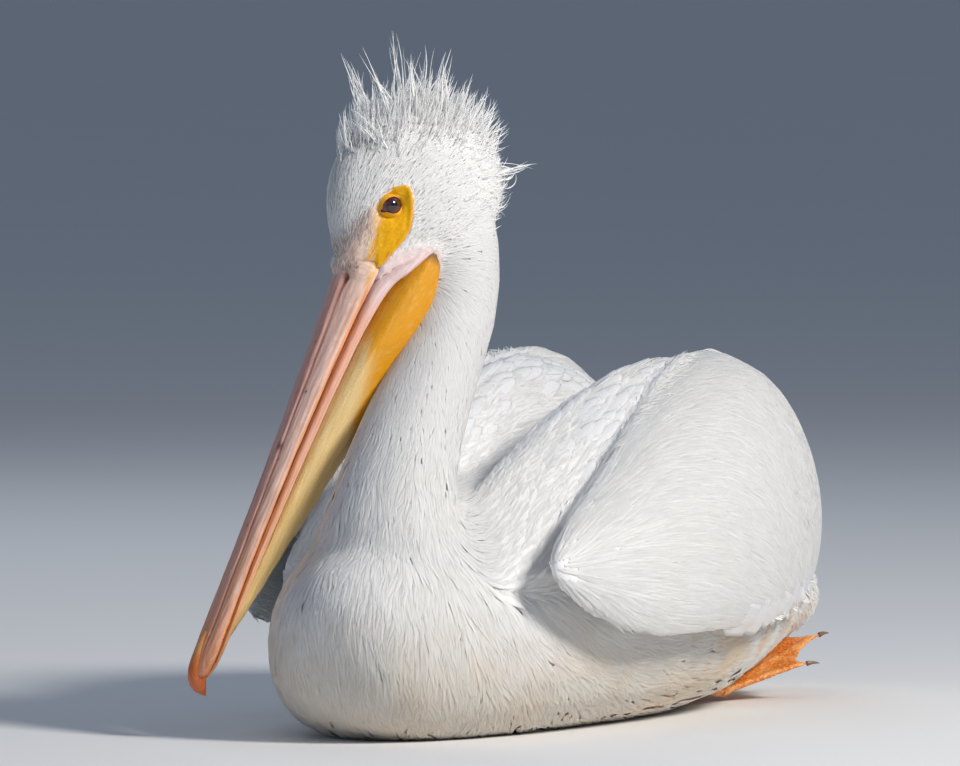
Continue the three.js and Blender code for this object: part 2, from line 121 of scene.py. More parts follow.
TAIL = [
    [440, 24, 156, 9], [490, 31, 143, 9], [535, 36, 128, 7.5],
    [578, 38, 114, 5], [606, 33, 106, 3.2], [616, 24, 104, 2]]
# crest tips from the head's middle: forward, up, to the left
CREST = [
    [57, 90, -10], [50, 96, 11], [16, 106.5, -5], [12, 90, 16], [-8, 96.5, 0],
    [-16, 83.5, 15], [-36, 93, -11], [-42, 75, 12], [-60, 64, 0], [-76, 56, -12],
    [-103, 19, 0], [-76, 14, 15], [-80, -13, -6], [53, 50, 3], [38, 78, -20], [-12, 86, -24]]

# ------------------------------------------------------------------- the bill's axes
FORWARD = np.array([-math.sin(HEAD_TURN), -math.cos(HEAD_TURN), 0.0])
ALONG = FORWARD * math.cos(BILL_DIP) + np.array([0, 0, -math.sin(BILL_DIP)])
ABOVE = FORWARD * math.sin(BILL_DIP) + np.array([0, 0, math.cos(BILL_DIP)])
ASIDE = np.cross([0, 0, 1], FORWARD)


def on_bill(along, up, side):
    """A place given in millimetres along, above and to the left of the bill's root."""
    along, up, side = (np.asarray(v, float)[..., None] for v in (along, up, side))
    return (BILL_ROOT + along * ALONG + up * ABOVE + side * ASIDE) * MM


def in_bill(p):
    """The same three numbers for places in metres."""
    q = np.asarray(p, float) / MM - BILL_ROOT
    return q @ ALONG, q @ ABOVE, q @ ASIDE


HEAD_MIDDLE = on_bill(-76.0, -38.0, 0.0)


# --------------------------------------------------------------------- number tools
def smooth_rows(table, count):
    t = np.asarray(table, float)
    u = np.linspace(0, len(t) - 1, count + 1)
    i = np.minimum(np.floor(u).astype(int), len(t) - 2)
    f = (u - i)[:, None]
    p0, p1, p2, p3 = (t[np.clip(i + k, 0, len(t) - 1)] for k in (-1, 0, 1, 2))
    return 0.5 * (2 * p1 + (p2 - p0) * f + (2 * p0 - 5 * p1 + 4 * p2 - p3) * f ** 2
                  + (3 * p1 - p0 - 3 * p2 + p3) * f ** 3)


def step(lo, hi, x):
    t = np.clip((np.asarray(x, float) - lo) / (hi - lo), 0, 1)
    return t * t * (3 - 2 * t)


def unit(v):
    return v / np.maximum(np.linalg.norm(v, axis=-1, keepdims=True), 1e-12)


def waves(p, scale, seed, octaves=2):
    """Smooth noise of about -1 to 1, from sums of sines in many directions."""
    r = np.random.default_rng(seed)
    total, size = np.zeros(len(p)), 0.0
    for o in range(octaves):
        for _ in range(7):
            k = unit(r.normal(size=3)) * (2 * math.pi / scale) * 2 ** o * r.uniform(0.7, 1.35)
            total += np.sin(p @ k + r.uniform(0, 6.28)) * 0.5 ** o
        size += 7 * 0.25 ** o
    return total / math.sqrt(size) * 0.8


def rotate_about(v, axis, angle):
    c, s = np.cos(angle)[:, None], np.sin(angle)[:, None]
    return v * c + np.cross(axis, v) * s + axis * (np.sum(axis * v, 1)[:, None]) * (1 - c)


# ---------------------------------------------------------------------- mesh tools
def build(name, verts, faces, uvs=None, floats=None, colour=None, smooth=True):
    """A mesh object from arrays. uvs and colour hold one value for each vertex."""
    me = bpy.data.meshes.new(name)
    faces = [np.asarray(f) for f in (faces if isinstance(faces, list) else [faces]) if len(f)]
    loops = np.concatenate([f.ravel() for f in faces]).astype(np.int32)
    sizes = np.concatenate([np.full(len(f), f.shape[1], np.int32) for f in faces])
    starts = np.concatenate([[0], np.cumsum(sizes)[:-1]]).astype(np.int32)
    me.vertices.add(len(verts))
    me.vertices.foreach_set("co", np.asarray(verts, np.float32).ravel())
    me.loops.add(len(loops))
    me.loops.foreach_set("vertex_index", loops)
    me.polygons.add(len(sizes))
    me.polygons.foreach_set("loop_start", starts)
    me.polygons.foreach_set("use_smooth", np.full(len(sizes), bool(smooth)))
    me.update(calc_edges=True)
    for key, uv in (uvs or {}).items():
        layer = me.uv_layers.new(name=key)
        layer.uv.foreach_set("vector", np.asarray(uv, np.float32)[loops].ravel())
    for key, value in (floats or {}).items():
        layer = me.attributes.new(key, "FLOAT", "POINT")
        layer.data.foreach_set("value", np.asarray(value, np.float32))
    if colour is not None:
        layer = me.color_attributes.new("Tint", "FLOAT_COLOR", "POINT")
        rgba = np.ones((len(verts), 4), np.float32)
        rgba[:, :3] = colour
        layer.data.foreach_set("color", rgba.ravel())
    ob = bpy.data.objects.new(name, me)
    bpy.context.scene.collection.objects.link(ob)
    return ob


def arrays(me):
    v = np.empty(len(me.vertices) * 3, np.float32)
    me.vertices.foreach_get("co", v)
    me.calc_loop_triangles()
    t = np.empty(len(me.loop_triangles) * 3, np.int32)
    me.loop_triangles.foreach_get("vertices", t)
    return v.reshape(-1, 3).astype(float), t.reshape(-1, 3)


def welded(name):
    """A CAD node's vertices and triangles, with doubled corners joined."""
    v, t = arrays(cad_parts[name].data)
    keys, index = np.unique(np.round(v / 2e-6).astype(np.int64), axis=0, return_inverse=True)
    index = index.ravel()
    out = np.zeros((len(keys), 3))
    out[index] = v
    t = index[t]
    good = (t[:, 0] != t[:, 1]) & (t[:, 1] != t[:, 2]) & (t[:, 0] != t[:, 2])
    return out, t[good]


def vertex_normals(v, t):
    n = np.cross(v[t[:, 1]] - v[t[:, 0]], v[t[:, 2]] - v[t[:, 0]])
    out = np.zeros_like(v)
    for c in range(3):
        for k in range(3):
            out[:, k] += np.bincount(t[:, c], n[:, k], len(v))
    return unit(out)


def edges_of(me):
    e = np.empty(len(me.edges) * 2, np.int32)
    me.edges.foreach_get("vertices", e)
    return e.reshape(-1, 2)


def averaged(values, edges, times, share=0.5):
    """Neighbours' mean mixed in, times over."""
    val = values.reshape(len(values), -1).astype(float)
    n = len(val)
    degree = np.maximum(np.bincount(edges.ravel(), minlength=n), 1)[:, None]
    for _ in range(times):
        near = np.stack([np.bincount(edges[:, 0], val[edges[:, 1], c], n)
                         + np.bincount(edges[:, 1], val[edges[:, 0], c], n)
                         for c in range(val.shape[1])], 1) / degree
        val = val + (near - val) * (share if np.isscalar(share) else share[:, None])
    return val.reshape(values.shape)


def loft(loops, closed_ends=True):
    """Quads between rings of one length, a fan at each end. loops is (rows, ring, 3)."""
    rows, n, _ = loops.shape
    verts = loops.reshape(-1, 3)
    i, k = np.meshgrid(np.arange(rows - 1), np.arange(n), indexing="ij")
    a, b = i * n + k, i * n + (k + 1) % n
    quads = np.stack([a, b, b + n, a + n], -1).reshape(-1, 4)
    if not closed_ends:
        return verts, [quads]
    verts = np.vstack([verts, loops[0].mean(0), loops[-1].mean(0)])
    k = np.arange(n)
    first = np.stack([np.full(n, rows * n), (k + 1) % n, k], 1)
    last = np.stack([np.full(n, rows * n + 1), (rows - 1) * n + k, (rows - 1) * n + (k + 1) % n], 1)
    v = verts
    tri = np.concatenate([quads[:, [0, 1, 2]], quads[:, [0, 2, 3]], first, last])
    volume = np.einsum("ij,ij->", v[tri[:, 0]], np.cross(v[tri[:, 1]], v[tri[:, 2]]))
    if volume < 0:
        quads, first, last = quads[:, ::-1], first[:, ::-1], last[:, ::-1]
    return verts, [quads, np.concatenate([first, last])]


# ================================================================== camera and light
def look(name, kind, place, target, **settings):
    if kind == "CAMERA":
        data = bpy.data.cameras.new(name)
    else:
        data = bpy.data.lights.new(name, kind)
    for key, value in settings.items():
        setattr(data, key, value)
    ob = bpy.data.objects.new(name, data)
    bpy.context.scene.collection.objects.link(ob)
    ob.location = place
    ob.rotation_euler = (Vector(target) - Vector(place)).to_track_quat("-Z", "Y").to_euler()
    return ob


VIEW_TURN, VIEW_RISE, VIEW_FAR = math.radians(28.0), math.radians(2.6), 8.0
TARGET = np.array([0.052, -0.224, 0.26])
BACK = np.array([math.sin(VIEW_TURN) * math.cos(VIEW_RISE), -math.cos(VIEW_TURN) * math.cos(VIEW_RISE), math.sin(VIEW_RISE)])
EYE_PLACE = TARGET + VIEW_FAR * BACK
camera = look("camera", "CAMERA", EYE_PLACE, TARGET, lens=10880 / 960 * 36, sensor_width=36.0, clip_start=0.1, clip_end=1500.0)
bpy.context.scene.camera = camera

RIGHT = np.array([math.cos(VIEW_TURN), math.sin(VIEW_TURN), 0])
NEAR = np.array([math.sin(VIEW_TURN), -math.cos(VIEW_TURN), 0])
MIDDLE = np.array([0.0, 0.0, 0.2])
look("key", "AREA", MIDDLE + 2.45 * RIGHT + 2.0 * NEAR + np.array([0, 0, 2.05]), MIDDLE, shape="DISK", size=1.0,
     energy=143.0, color=(1.0, 0.955, 0.90))
look("fill", "AREA", MIDDLE - 2.6 * RIGHT + 1.6 * NEAR + np.array([0, 0, 1.0]), MIDDLE, shape="DISK", size=2.4,
     energy=6.0, color=(0.70, 0.82, 1.0))
look("back", "AREA", MIDDLE - 1.0 * RIGHT - 2.4 * NEAR + np.array([0, 0, 2.2]), MIDDLE, shape="DISK", size=1.8,
     energy=16.0, color=(0.86, 0.92, 1.0))

world = bpy.data.worlds.new("studio")
bpy.context.scene.world = world
world.use_nodes = True
world.node_tree.nodes["Background"].inputs["Color"].default_value = (0.48, 0.59, 0.78, 1)
world.node_tree.nodes["Background"].inputs["Strength"].default_value = 0.27
bpy.context.scene.view_settings.view_transform = "Standard"


# ======================================================================== materials
class Nodes:
    """A few words for writing a material's nodes."""

    def __init__(self, name):
        self.mat = bpy.data.materials.new(name)
        self.mat.use_nodes = True
        self.tree = self.mat.node_tree
        self.shader = self.tree.nodes["Principled BSDF"]

    def node(self, kind, **settings):
        n = self.tree.nodes.new(kind)
        for key, value in settings.items():
            setattr(n, key, value)
        return n

    def put(self, socket, value):
        if isinstance(value, bpy.types.NodeSocket):
            self.tree.links.new(value, socket)
        elif value is not None:
            if socket.type == "RGBA" and len(value) == 3:
                value = (*value, 1.0)
            socket.default_value = value
        return self

    def set(self, **values):
        for key, value in values.items():
            self.put(self.shader.inputs[key.replace("_", " ")], value)
        return self

    def place(self):
        return self.node("ShaderNodeTexCoord").outputs["Object"]

    def attribute(self, name, out="Fac"):
        return self.node("ShaderNodeAttribute", attribute_name=name).outputs[out]

    def uv(self, name):
        return self.node("ShaderNodeUVMap", uv_map=name).outputs["UV"]

    def parts(self, vector):
        n = self.node("ShaderNodeSeparateXYZ")
        self.put(n.inputs[0], vector)
        return n.outputs

    def math(self, op, a, b=None, c=None, clamp=False):
        n = self.node("ShaderNodeMath", operation=op, use_clamp=clamp)
        for i, v in enumerate((a, b, c)):
            if v is not None:
                self.put(n.inputs[i], v)
        return n.outputs[0]

    def span(self, value, lo, hi, to_lo=0.0, to_hi=1.0, smooth=True):
        n = self.node("ShaderNodeMapRange", interpolation_type="SMOOTHSTEP" if smooth else "LINEAR", clamp=True)
        for i, v in enumerate((value, lo, hi, to_lo, to_hi)):
            self.put(n.inputs[i], v)
        return n.outputs[0]

    def mix(self, fac, a, b, blend="MIX"):
        n = self.node("ShaderNodeMix", data_type="RGBA", blend_type=blend)
        self.put(n.inputs[0], fac)
        self.put(n.inputs[6], a)
        self.put(n.inputs[7], b)
        return n.outputs[2]

    def noise(self, vector=None, scale=5.0, detail=3.0, rough=0.5, warp=0.0):
        n = self.node("ShaderNodeTexNoise")
        self.put(n.inputs["Scale"], scale)
        self.put(n.inputs["Detail"], detail)
        self.put(n.inputs["Roughness"], rough)
        self.put(n.inputs["Distortion"], warp)
        self.put(n.inputs["Vector"], vector if vector is not None else self.place())
        return n.outputs["Fac"]

    def cells(self, vector=None, scale=5.0, feature="F1"):
        n = self.node("ShaderNodeTexVoronoi", feature=feature)
        self.put(n.inputs["Scale"], scale)
        self.put(n.inputs["Vector"], vector if vector is not None else self.place())
        return n.outputs["Distance"]

    def scaled(self, vector, by):
        n = self.node("ShaderNodeMapping")
        self.put(n.inputs["Vector"], vector)
        n.inputs["Scale"].default_value = by
        return n.outputs[0]

    def bump(self, height, strength=0.3, distance=0.0005, after=None):
        n = self.node("ShaderNodeBump")
        self.put(n.inputs["Height"], height)
        self.put(n.inputs["Strength"], strength)
        self.put(n.inputs["Distance"], distance)
        if after is not None:
            self.put(n.inputs["Normal"], after)
        return n.outputs[0]


def wear(ob, material, body="root", instead=()):
    ob.data.materials.clear()
    ob.data.materials.append(material)
    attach(ob, body)
    if instead:
        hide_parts(*instead)
    return ob


def stained(m, base):
    """The markings that skin and coat share: a tan wash at the waterline, faint warm clouds."""
    x, y, z = m.parts(m.place())[:3]
    clouds = m.noise(scale=9.0, detail=2.0)
    base = m.mix(m.span(clouds, 0.52, 0.8, 0.0, 0.30), base, (0.93, 0.885, 0.79))
    patch = m.noise(scale=38.0, detail=3.0)
    level = m.math("ADD", z, m.math("MULTIPLY", m.math("SUBTRACT", patch, 0.5), 0.05))
    low = m.span(level, 0.105, 0.012, 0.0, 0.52)
    base = m.mix(low, base, (0.78, 0.65, 0.46))
    blotch = m.noise(scale=24.0, detail=3.0)
    rear = m.math("MULTIPLY", m.span(blotch, 0.42, 0.62), m.span(level, 0.092, 0.050, 0.0, 0.65))
    base = m.mix(m.math("MULTIPLY", rear, m.span(y, -0.10, 0.05, 0.25, 1.0)), base, (0.80, 0.53, 0.27))
    return base


def combed(m, fine=1.9, along=0.045, seed_scale=1.0):
    """Fine strands that run along each tuft."""
    return m.noise(m.scaled(m.uv("Comb"), (fine, along, 1.0)), seed_scale, 3.0, 0.62, 0.25)


def plumage(name, tone=(0.94, 0.94, 0.935), shade=(0.86, 0.875, 0.905), rough=0.62, root=0.4, strands=0.30, relief=0.30, fine=1.9):
    m = Nodes(name)
    u, s = m.parts(m.uv("Strand"))[:2]
    hair = combed(m, fine)
    base = m.mix(m.span(s, 0.0, root, 1.0, 0.0), tone, shade)
    base = m.mix(m.span(hair, 0.34, 0.60, strands, 0.0), base, (0.76, 0.785, 0.83))
    base = m.mix(m.span(u, 0.0, 1.0, 0.0, 0.45, smooth=False), base, m.mix(0.5, tone, (0.97, 0.955, 0.92)))
    base = stained(m, base)
    m.set(Base_Color=base, Roughness=rough, Normal=m.bump(hair, relief, 0.0002))
    m.shader.inputs["Subsurface Weight"].default_value = 0.38
    m.shader.inputs["Subsurface Radius"].default_value = (0.0038, 0.0038, 0.0040)
    m.shader.inputs["Subsurface Scale"].default_value = 1.0
    m.shader.inputs["Sheen Weight"].default_value = 0.10
    m.shader.inputs["Sheen Roughness"].default_value = 0.5
    m.shader.inputs["Specular IOR Level"].default_value = 0.3
    return m.mat


# ============================================================================= skin
FLESH = ["trunk", "neck", "head", "shoulder_left", "shoulder_right", "wing_left", "wing_right"]
shapes = {n: welded(n) for n in FLESH}
VOXEL = 0.0043


def remeshed(names, voxel):
    verts, tris, base = [], [], 0
    for n in names:
        v, t = shapes[n]
        verts.append(v)
        tris.append(t + base)
        base += len(v)
    rough = build("rough", np.vstack(verts), np.vstack(tris), smooth=False)
    mod = rough.modifiers.new("voxels", "REMESH")
    mod.mode, mod.voxel_size, mod.adaptivity = "VOXEL", voxel, 0.0
    dg = bpy.context.evaluated_depsgraph_get()
    me = bpy.data.meshes.new_from_object(rough.evaluated_get(dg))
    bpy.data.objects.remove(rough)
    return me


flow_mesh = remeshed(FLESH, VOXEL)
FV, FT = arrays(flow_mesh)
FE = edges_of(flow_mesh)
said("remeshed", len(FV), "vertices")

# which solid each vertex came from
trees = {n: BVHTree.FromPolygons(v.tolist(), t.tolist()) for n, (v, t) in shapes.items()}
near = np.full((len(FV), len(FLESH)), 9.0)
for c, n in enumerate(FLESH):
    lo, hi = shapes[n][0].min(0) - 0.012, shapes[n][0].max(0) + 0.012
    inside = np.flatnonzero(np.all((FV > lo) & (FV < hi), axis=1))
    tree = trees[n]
    for i in inside:
        near[i, c] = tree.find_nearest(FV[i])[3]
label = near.argmin(1)
is_ = {n: (label == c).astype(float) for c, n in enumerate(FLESH)}
wingness = is_["wing_left"] + is_["wing_right"]
shoulderness = is_["shoulder_left"] + is_["shoulder_right"]
headness, neckness, trunkness = is_["head"], is_["neck"], is_["trunk"]
said("labels")

FV = averaged(FV, FE, 4, np.where(wingness > 0, 0.35, 0.5))
FN = vertex_normals(FV, FT)
soft = averaged(np.stack([wingness, shoulderness, headness, neckness, trunkness], 1), FE, 5)
W_WING, W_SHOULDER, W_HEAD, W_NECK, W_TRUNK = soft.T

# ------------------------------------------------- lie of the coat, by heat from the bill
alongF, upF, sideF = in_bill(FV)
hot = (W_HEAD > 0.5) & (alongF > -10)
spread = (0.11 / VOXEL) ** 2
degree = np.bincount(FE.ravel(), minlength=len(FV)).astype(float)


def heat(u):
    near = np.bincount(FE[:, 0], u[FE[:, 1]], len(u)) + np.bincount(FE[:, 1], u[FE[:, 0]], len(u))
    return u + spread * (degree * u - near)


b = hot.astype(float)
u = np.zeros(len(FV))
r = b.copy()
p = r.copy()
rr = r @ r
for _ in range(900):
    q = heat(p)
    a = rr / (p @ q)
    u += a * p
    r -= a * q
    new = r @ r
    if new < 1e-20:
        break
    p = r + (new / rr) * p
    rr = new
u = np.log(np.maximum(u, 1e-12))
said("heat", _, float(u.min()), float(u.max()))
grad = np.zeros((len(FV), 3))
e = FV[FE[:, 1]] - FV[FE[:, 0]]
slope = ((u[FE[:, 1]] - u[FE[:, 0]]) / np.maximum(np.sum(e * e, 1), 1e-12))[:, None] * e
for c in range(3):
    grad[:, c] = np.bincount(FE[:, 0], slope[:, c], len(FV)) + np.bincount(FE[:, 1], slope[:, c], len(FV))
FLOW = unit(-(grad - FN * np.sum(grad * FN, 1)[:, None]))

# wings and shoulders have a lie of their own
yb = FV[:, 1] / MM + 252.0
zb = FV[:, 2] / MM
wing_t = np.asarray(WING, float)
ridge = np.interp(yb, wing_t[:, 0], wing_t[:, 2])
brim = np.interp(yb, wing_t[:, 0], wing_t[:, 5])
high = np.clip((zb - brim) / np.maximum(ridge - brim, 1), 0, 1)
back = np.clip((yb + 7) / 580, 0, 1)
fall = 4 + 66 * step(0.12, 0.80, back)
steep = 0.55 * step(0.35, 0.72, back)
fall = fall * (0.30 + steep + (0.70 - steep) * step(0.0, 0.5, high))
fall += 38 * (1 - step(0.0, 0.22, back)) * (1 - step(0.05, 0.45, high))
fall -= 26 * (1 - step(0.0, 0.30, back)) * step(0.55, 0.95, high)
fall *= 1 - 0.65 * step(0.86, 1.0, high)
fall = np.radians(fall)
over_wing = np.stack([np.zeros_like(fall), np.cos(fall), -np.sin(fall)], 1)
sh = np.asarray(SHOULDER, float)
top = sh[:, 2] + sh[:, 4]
rise = np.interp(yb, sh[:, 0], np.gradient(top, sh[:, 0]))
over_shoulder = unit(np.stack([np.zeros_like(rise), np.ones_like(rise), 0.85 * rise + 0.08], 1))
mixed = (FLOW * np.clip(1 - W_WING - W_SHOULDER, 0, 1)[:, None] + over_wing * W_WING[:, None]
         + over_shoulder * W_SHOULDER[:, None])
mixed = unit(mixed - FN * np.sum(mixed * FN, 1)[:, None])
for _ in range(5):
    mixed = averaged(mixed, FE, 2)
    mixed = unit(mixed - FN * np.sum(mixed * FN, 1)[:, None])
FLOW = mixed
said("lie of the coat")

# ------------------------------------------------------- finer mesh on the face
# outlines on the side of the head: along the bill's line, above it
EYE_PATCH = [(-72, -11), (-69.5, -16), (-63, -21), (-52.5, -25.6), (-42, -28.4), (-31.5, -27.7), (-18.7, -24.2),
             (-5.5, -20), (4, -18), (4, -14.5), (-10, -12.5), (-20, -9.5), (-31, -6), (-43, -2.4), (-50, 0.2), (-58, 0.6), (-66, -3.6)]
CHEEK = [(2, -24), (-4, -20), (-14, -22), (-25.6, -29.5), (-31, -36), (-36.5, -48), (-38, -57), (-34.5, -64),
         (-26, -62), (-14, -52), (0, -44)]
LORES = [(6, -8), (-8, -3.5), (-20, -0.5), (-33, 0.5), (-46, 3), (-45, 7), (-33, 8.5), (-18, 11), (-5, 12), (6, 8)]
FORE = [(8, -24), (-6, -19), (-20, -13), (-33, -8), (-45, -3), (-46, 3), (-33, 4.5), (-20, 5), (-8, 4), (8, 2)]


def outline_distance(outline, a, b):
    """Signed distance in millimetres to a closed outline, positive inside."""
    pts = np.asarray(outline, float)
    best = np.full(len(a), 1e9)
    inside = np.zeros(len(a), bool)
    for i in range(len(pts)):
        (x0, y0), (x1, y1) = pts[i], pts[(i + 1) % len(pts)]
        dx, dy = x1 - x0, y1 - y0
        t = np.clip(((a - x0) * dx + (b - y0) * dy) / (dx * dx + dy * dy), 0, 1)
        best = np.minimum(best, np.hypot(a - x0 - t * dx, b - y0 - t * dy))
        cross = ((y0 > b) != (y1 > b)) & (a < (x1 - x0) * (b - y0) / ((y1 - y0) if y1 != y0 else 1e-9) + x0)
        inside ^= cross
    return np.where(inside, best, -best)


bm = bmesh.new()
flow_mesh.vertices.foreach_set("co", FV.astype(np.float32).ravel())
bm.from_mesh(flow_mesh)
bm.faces.ensure_lookup_table()
face_mid = np.array([f.calc_center_median()[:] for f in bm.faces])
af, uf, sf = in_bill(face_mid)
fine = (af > -80) & (af < 16) & (uf > -72) & (uf < 40) & (face_mid[:, 1] < -0.16) & (face_mid[:, 2] > 0.30)
chosen = {e for i in np.flatnonzero(fine) for e in bm.faces[i].edges}
bmesh.ops.subdivide_edges(bm, edges=sorted(chosen, key=lambda e: e.index), cuts=2, use_grid_fill=True)
skin_mesh = bpy.data.meshes.new("skin")
bm.to_mesh(skin_mesh)
bm.free()
SV, ST = arrays(skin_mesh)
SE = edges_of(skin_mesh)
aS, uS, sS = in_bill(SV)
zone = step(-84, -74, aS) * step(-76, -68, uS) * (SV[:, 1] < -0.15) * (SV[:, 2] > 0.29)
SV = averaged(SV, SE, 6, 0.5 * zone)

flow_tree = BVHTree.FromPolygons(FV.tolist(), FT.tolist())


def barycentric(p, tri):
    a, b, c = tri[:, 0], tri[:, 1], tri[:, 2]
    v0, v1, v2 = b - a, c - a, p - a
    d00, d01, d11 = (v0 * v0).sum(1), (v0 * v1).sum(1), (v1 * v1).sum(1)
    d20, d21 = (v2 * v0).sum(1), (v2 * v1).sum(1)
    den = np.maximum(d00 * d11 - d01 * d01, 1e-20)
    v = (d11 * d20 - d01 * d21) / den
    w = (d00 * d21 - d01 * d20) / den
    out = np.clip(np.stack([1 - v - w, v, w], 1), 0, 1)
    return out / out.sum(1, keepdims=True)


def nearest(tree, points):
    """Nearest places on a tree: places and faces."""
    find = tree.find_nearest
    hits = [find(p) for p in points.tolist()]
    return np.array([h[0][:] for h in hits]), np.array([h[2] for h in hits])


def carried(values, points):
    """Values of the flow mesh's vertices, read at other points."""
    loc, face = nearest(flow_tree, points)
    w = barycentric(loc, FV[FT[face]])
    return np.einsum("nk,nkc->nc", w, values.reshape(len(values), -1)[FT[face]])


packed = np.concatenate([FLOW, np.stack([W_WING, W_SHOULDER, W_HEAD, W_NECK, W_TRUNK], 1)], 1)
got = carried(packed, SV)
S_FLOW, S_WING, S_SHOULDER, S_HEAD, S_NECK, S_TRUNK = got[:, :3], *got[:, 3:].T
said("finer face", len(SV), "vertices", len(ST), "triangles")

# ------------------------------------------------------------------- masks on the skin
aS, uS, sS = in_bill(SV)
on_face = (S_HEAD + S_NECK > 0.3) & (aS > -90) & (np.abs(sS) > 5)
PATCH_D = np.where(on_face, outline_distance(EYE_PATCH, aS, uS), -50.0)
CHEEK_D = np.where(on_face, outline_distance(CHEEK, aS, uS), -50.0)
LORES_D = np.where((S_HEAD > 0.3), outline_distance(LORES, aS, uS), -50.0)
FORE_D = np.where((S_HEAD > 0.3), outline_distance(FORE, aS, uS), -50.0)
# the patch's rear and lower edge is sharp; its front edge fades through streaks into cream and pink skin
front_line = np.interp(aS, [-66, -58, -50, -43, -31, -20, -10, 4], [-3.6, 0.6, 0.2, -2.4, -6, -9.5, -12.5, -14.5])
rear_line = np.interp(aS, [-72, -63, -52.5, -42, -31.5, -18.7, -5.5, 4], [-11, -21, -25.6, -28.4, -27.7, -24.2, -20, -18])
middle_line = 0.5 * (front_line + rear_line)
towards_front = step(-1.0, 2.5, uS - middle_line) * step(-58, -44, aS)
YELLOW = step(-0.7 - 7.0 * towards_front, 0.7 + 5.2 * towards_front, PATCH_D)
SHARP = step(-0.7, 0.7, PATCH_D)
CREAM = step(-2.2, 1.4, FORE_D) * (1 - SHARP * (1 - towards_front))
PINK = step(-1.2, 1.2, CHEEK_D) * (1 - SHARP)
THIN = step(-4.5, 3, LORES_D) * (1 - SHARP)
BARE = np.clip(SHARP + PINK + 0.8 * step(-1.0, 1.5, FORE_D) * step(-30, -12, aS), 0, 1)

# ---------------------------------------------------- the coat's depth, and the skin under it
SN = vertex_normals(SV, ST)
front_low = S_TRUNK * step(-0.06, -0.20, SV[:, 1])
COAT = (2.1 * S_TRUNK + 1.6 * S_SHOULDER + 1.1 * S_WING + 1.9 * S_HEAD + 1.7 * S_NECK)
neck_top = S_NECK * step(0.20, 0.30, SV[:, 2])
COAT -= 0.3 * neck_top
COAT = COAT * (1 - 0.8 * np.clip(step(-6, 1, np.maximum(PATCH_D, CHEEK_D)) + 0.6 * CREAM + 0.4 * THIN, 0, 1))
root_ring = (S_HEAD > 0.3) * step(-14, -2, aS)
COAT = COAT * (1 - 0.75 * root_ring)
skin_tree = BVHTree.FromPolygons(SV.tolist(), ST.tolist())
room = np.full(len(SV), 0.05)
for i in range(len(SV)):
    hit = skin_tree.ray_cast(Vector(SV[i] - SN[i] * 0.0004), Vector(-SN[i]), 0.05)
    if hit[3] is not None:
        room[i] = hit[3]
COAT = np.minimum(COAT, room / MM * 0.22)
COAT = averaged(COAT, SE, 5)
SKIN = SV - SN * (COAT * MM)[:, None]
# low folds of the bare skin: wrinkles along the patch, a furrow at its edge
wr = waves(np.stack([aS * 0.55 + uS * 0.25, uS * 1.25 - aS * 0.35, sS * 0.8], 1), 4.6, 21, 3)
SKIN += SN * (MM * BARE * (0.28 * wr))[:, None]
SKIN += SN * (MM * (1 - towards_front) * np.where(on_face, 0.9 * np.exp(-((PATCH_D - 1.6) / 1.5) ** 2) - 0.55 * np.exp(-((PATCH_D + 0.9) / 0.9) ** 2), 0))[:, None]
SKIN[:, 2] = np.maximum(SKIN[:, 2], 0.0012)
KN = vertex_normals(SKIN, ST)
skin_tree = BVHTree.FromPolygons(SKIN.tolist(), ST.tolist())
said("skin")

skin_quads = np.empty(len(skin_mesh.loops), np.int32)
skin_mesh.loops.foreach_get("vertex_index", skin_quads)
skin_mesh.vertices.foreach_set("co", SKIN.astype(np.float32).ravel())
skin_mesh.polygons.foreach_set("use_smooth", np.ones(len(skin_mesh.polygons), bool))
seam = np.where(on_face, np.exp(-((PATCH_D + 0.3) / 0.75) ** 2), 0.0) * (1 - towards_front) * step(-70, -50, aS)
for key, value in (("yellow", YELLOW), ("pink", PINK), ("thin", THIN), ("edge", seam), ("cream", CREAM),
                   ("bill_along", aS), ("bill_up", uS)):
    skin_mesh.attributes.new(key, "FLOAT", "POINT").data.foreach_set("value", value.astype(np.float32))
skin_mesh.update()
skin = bpy.data.objects.new("skin", skin_mesh)
bpy.context.scene.collection.objects.link(skin)

# ------------------------------------------- an unwrap of the skin, for each root's colour
small = bpy.data.objects.new("unwrap", flow_mesh.copy())
bpy.context.scene.collection.objects.link(small)
cut = small.modifiers.new("fewer", "DECIMATE")
cut.ratio = 0.12
dg = bpy.context.evaluated_depsgraph_get()
me = bpy.data.meshes.new_from_object(small.evaluated_get(dg))
bpy.data.objects.remove(small)
small = bpy.data.objects.new("unwrap", me)
bpy.context.scene.collection.objects.link(small)


def unwrapped(ob, margin=0.003):
    bpy.ops.object.select_all(action="DESELECT")
    bpy.context.view_layer.objects.active = ob
    ob.select_set(True)
    bpy.ops.object.mode_set(mode="EDIT")
    bpy.ops.mesh.select_all(action="SELECT")
    bpy.ops.uv.smart_project(angle_limit=math.radians(66), island_margin=margin)
    bpy.ops.object.mode_set(mode="OBJECT")
    ob.data.uv_layers[0].name = "OFBake"
    ob.select_set(False)


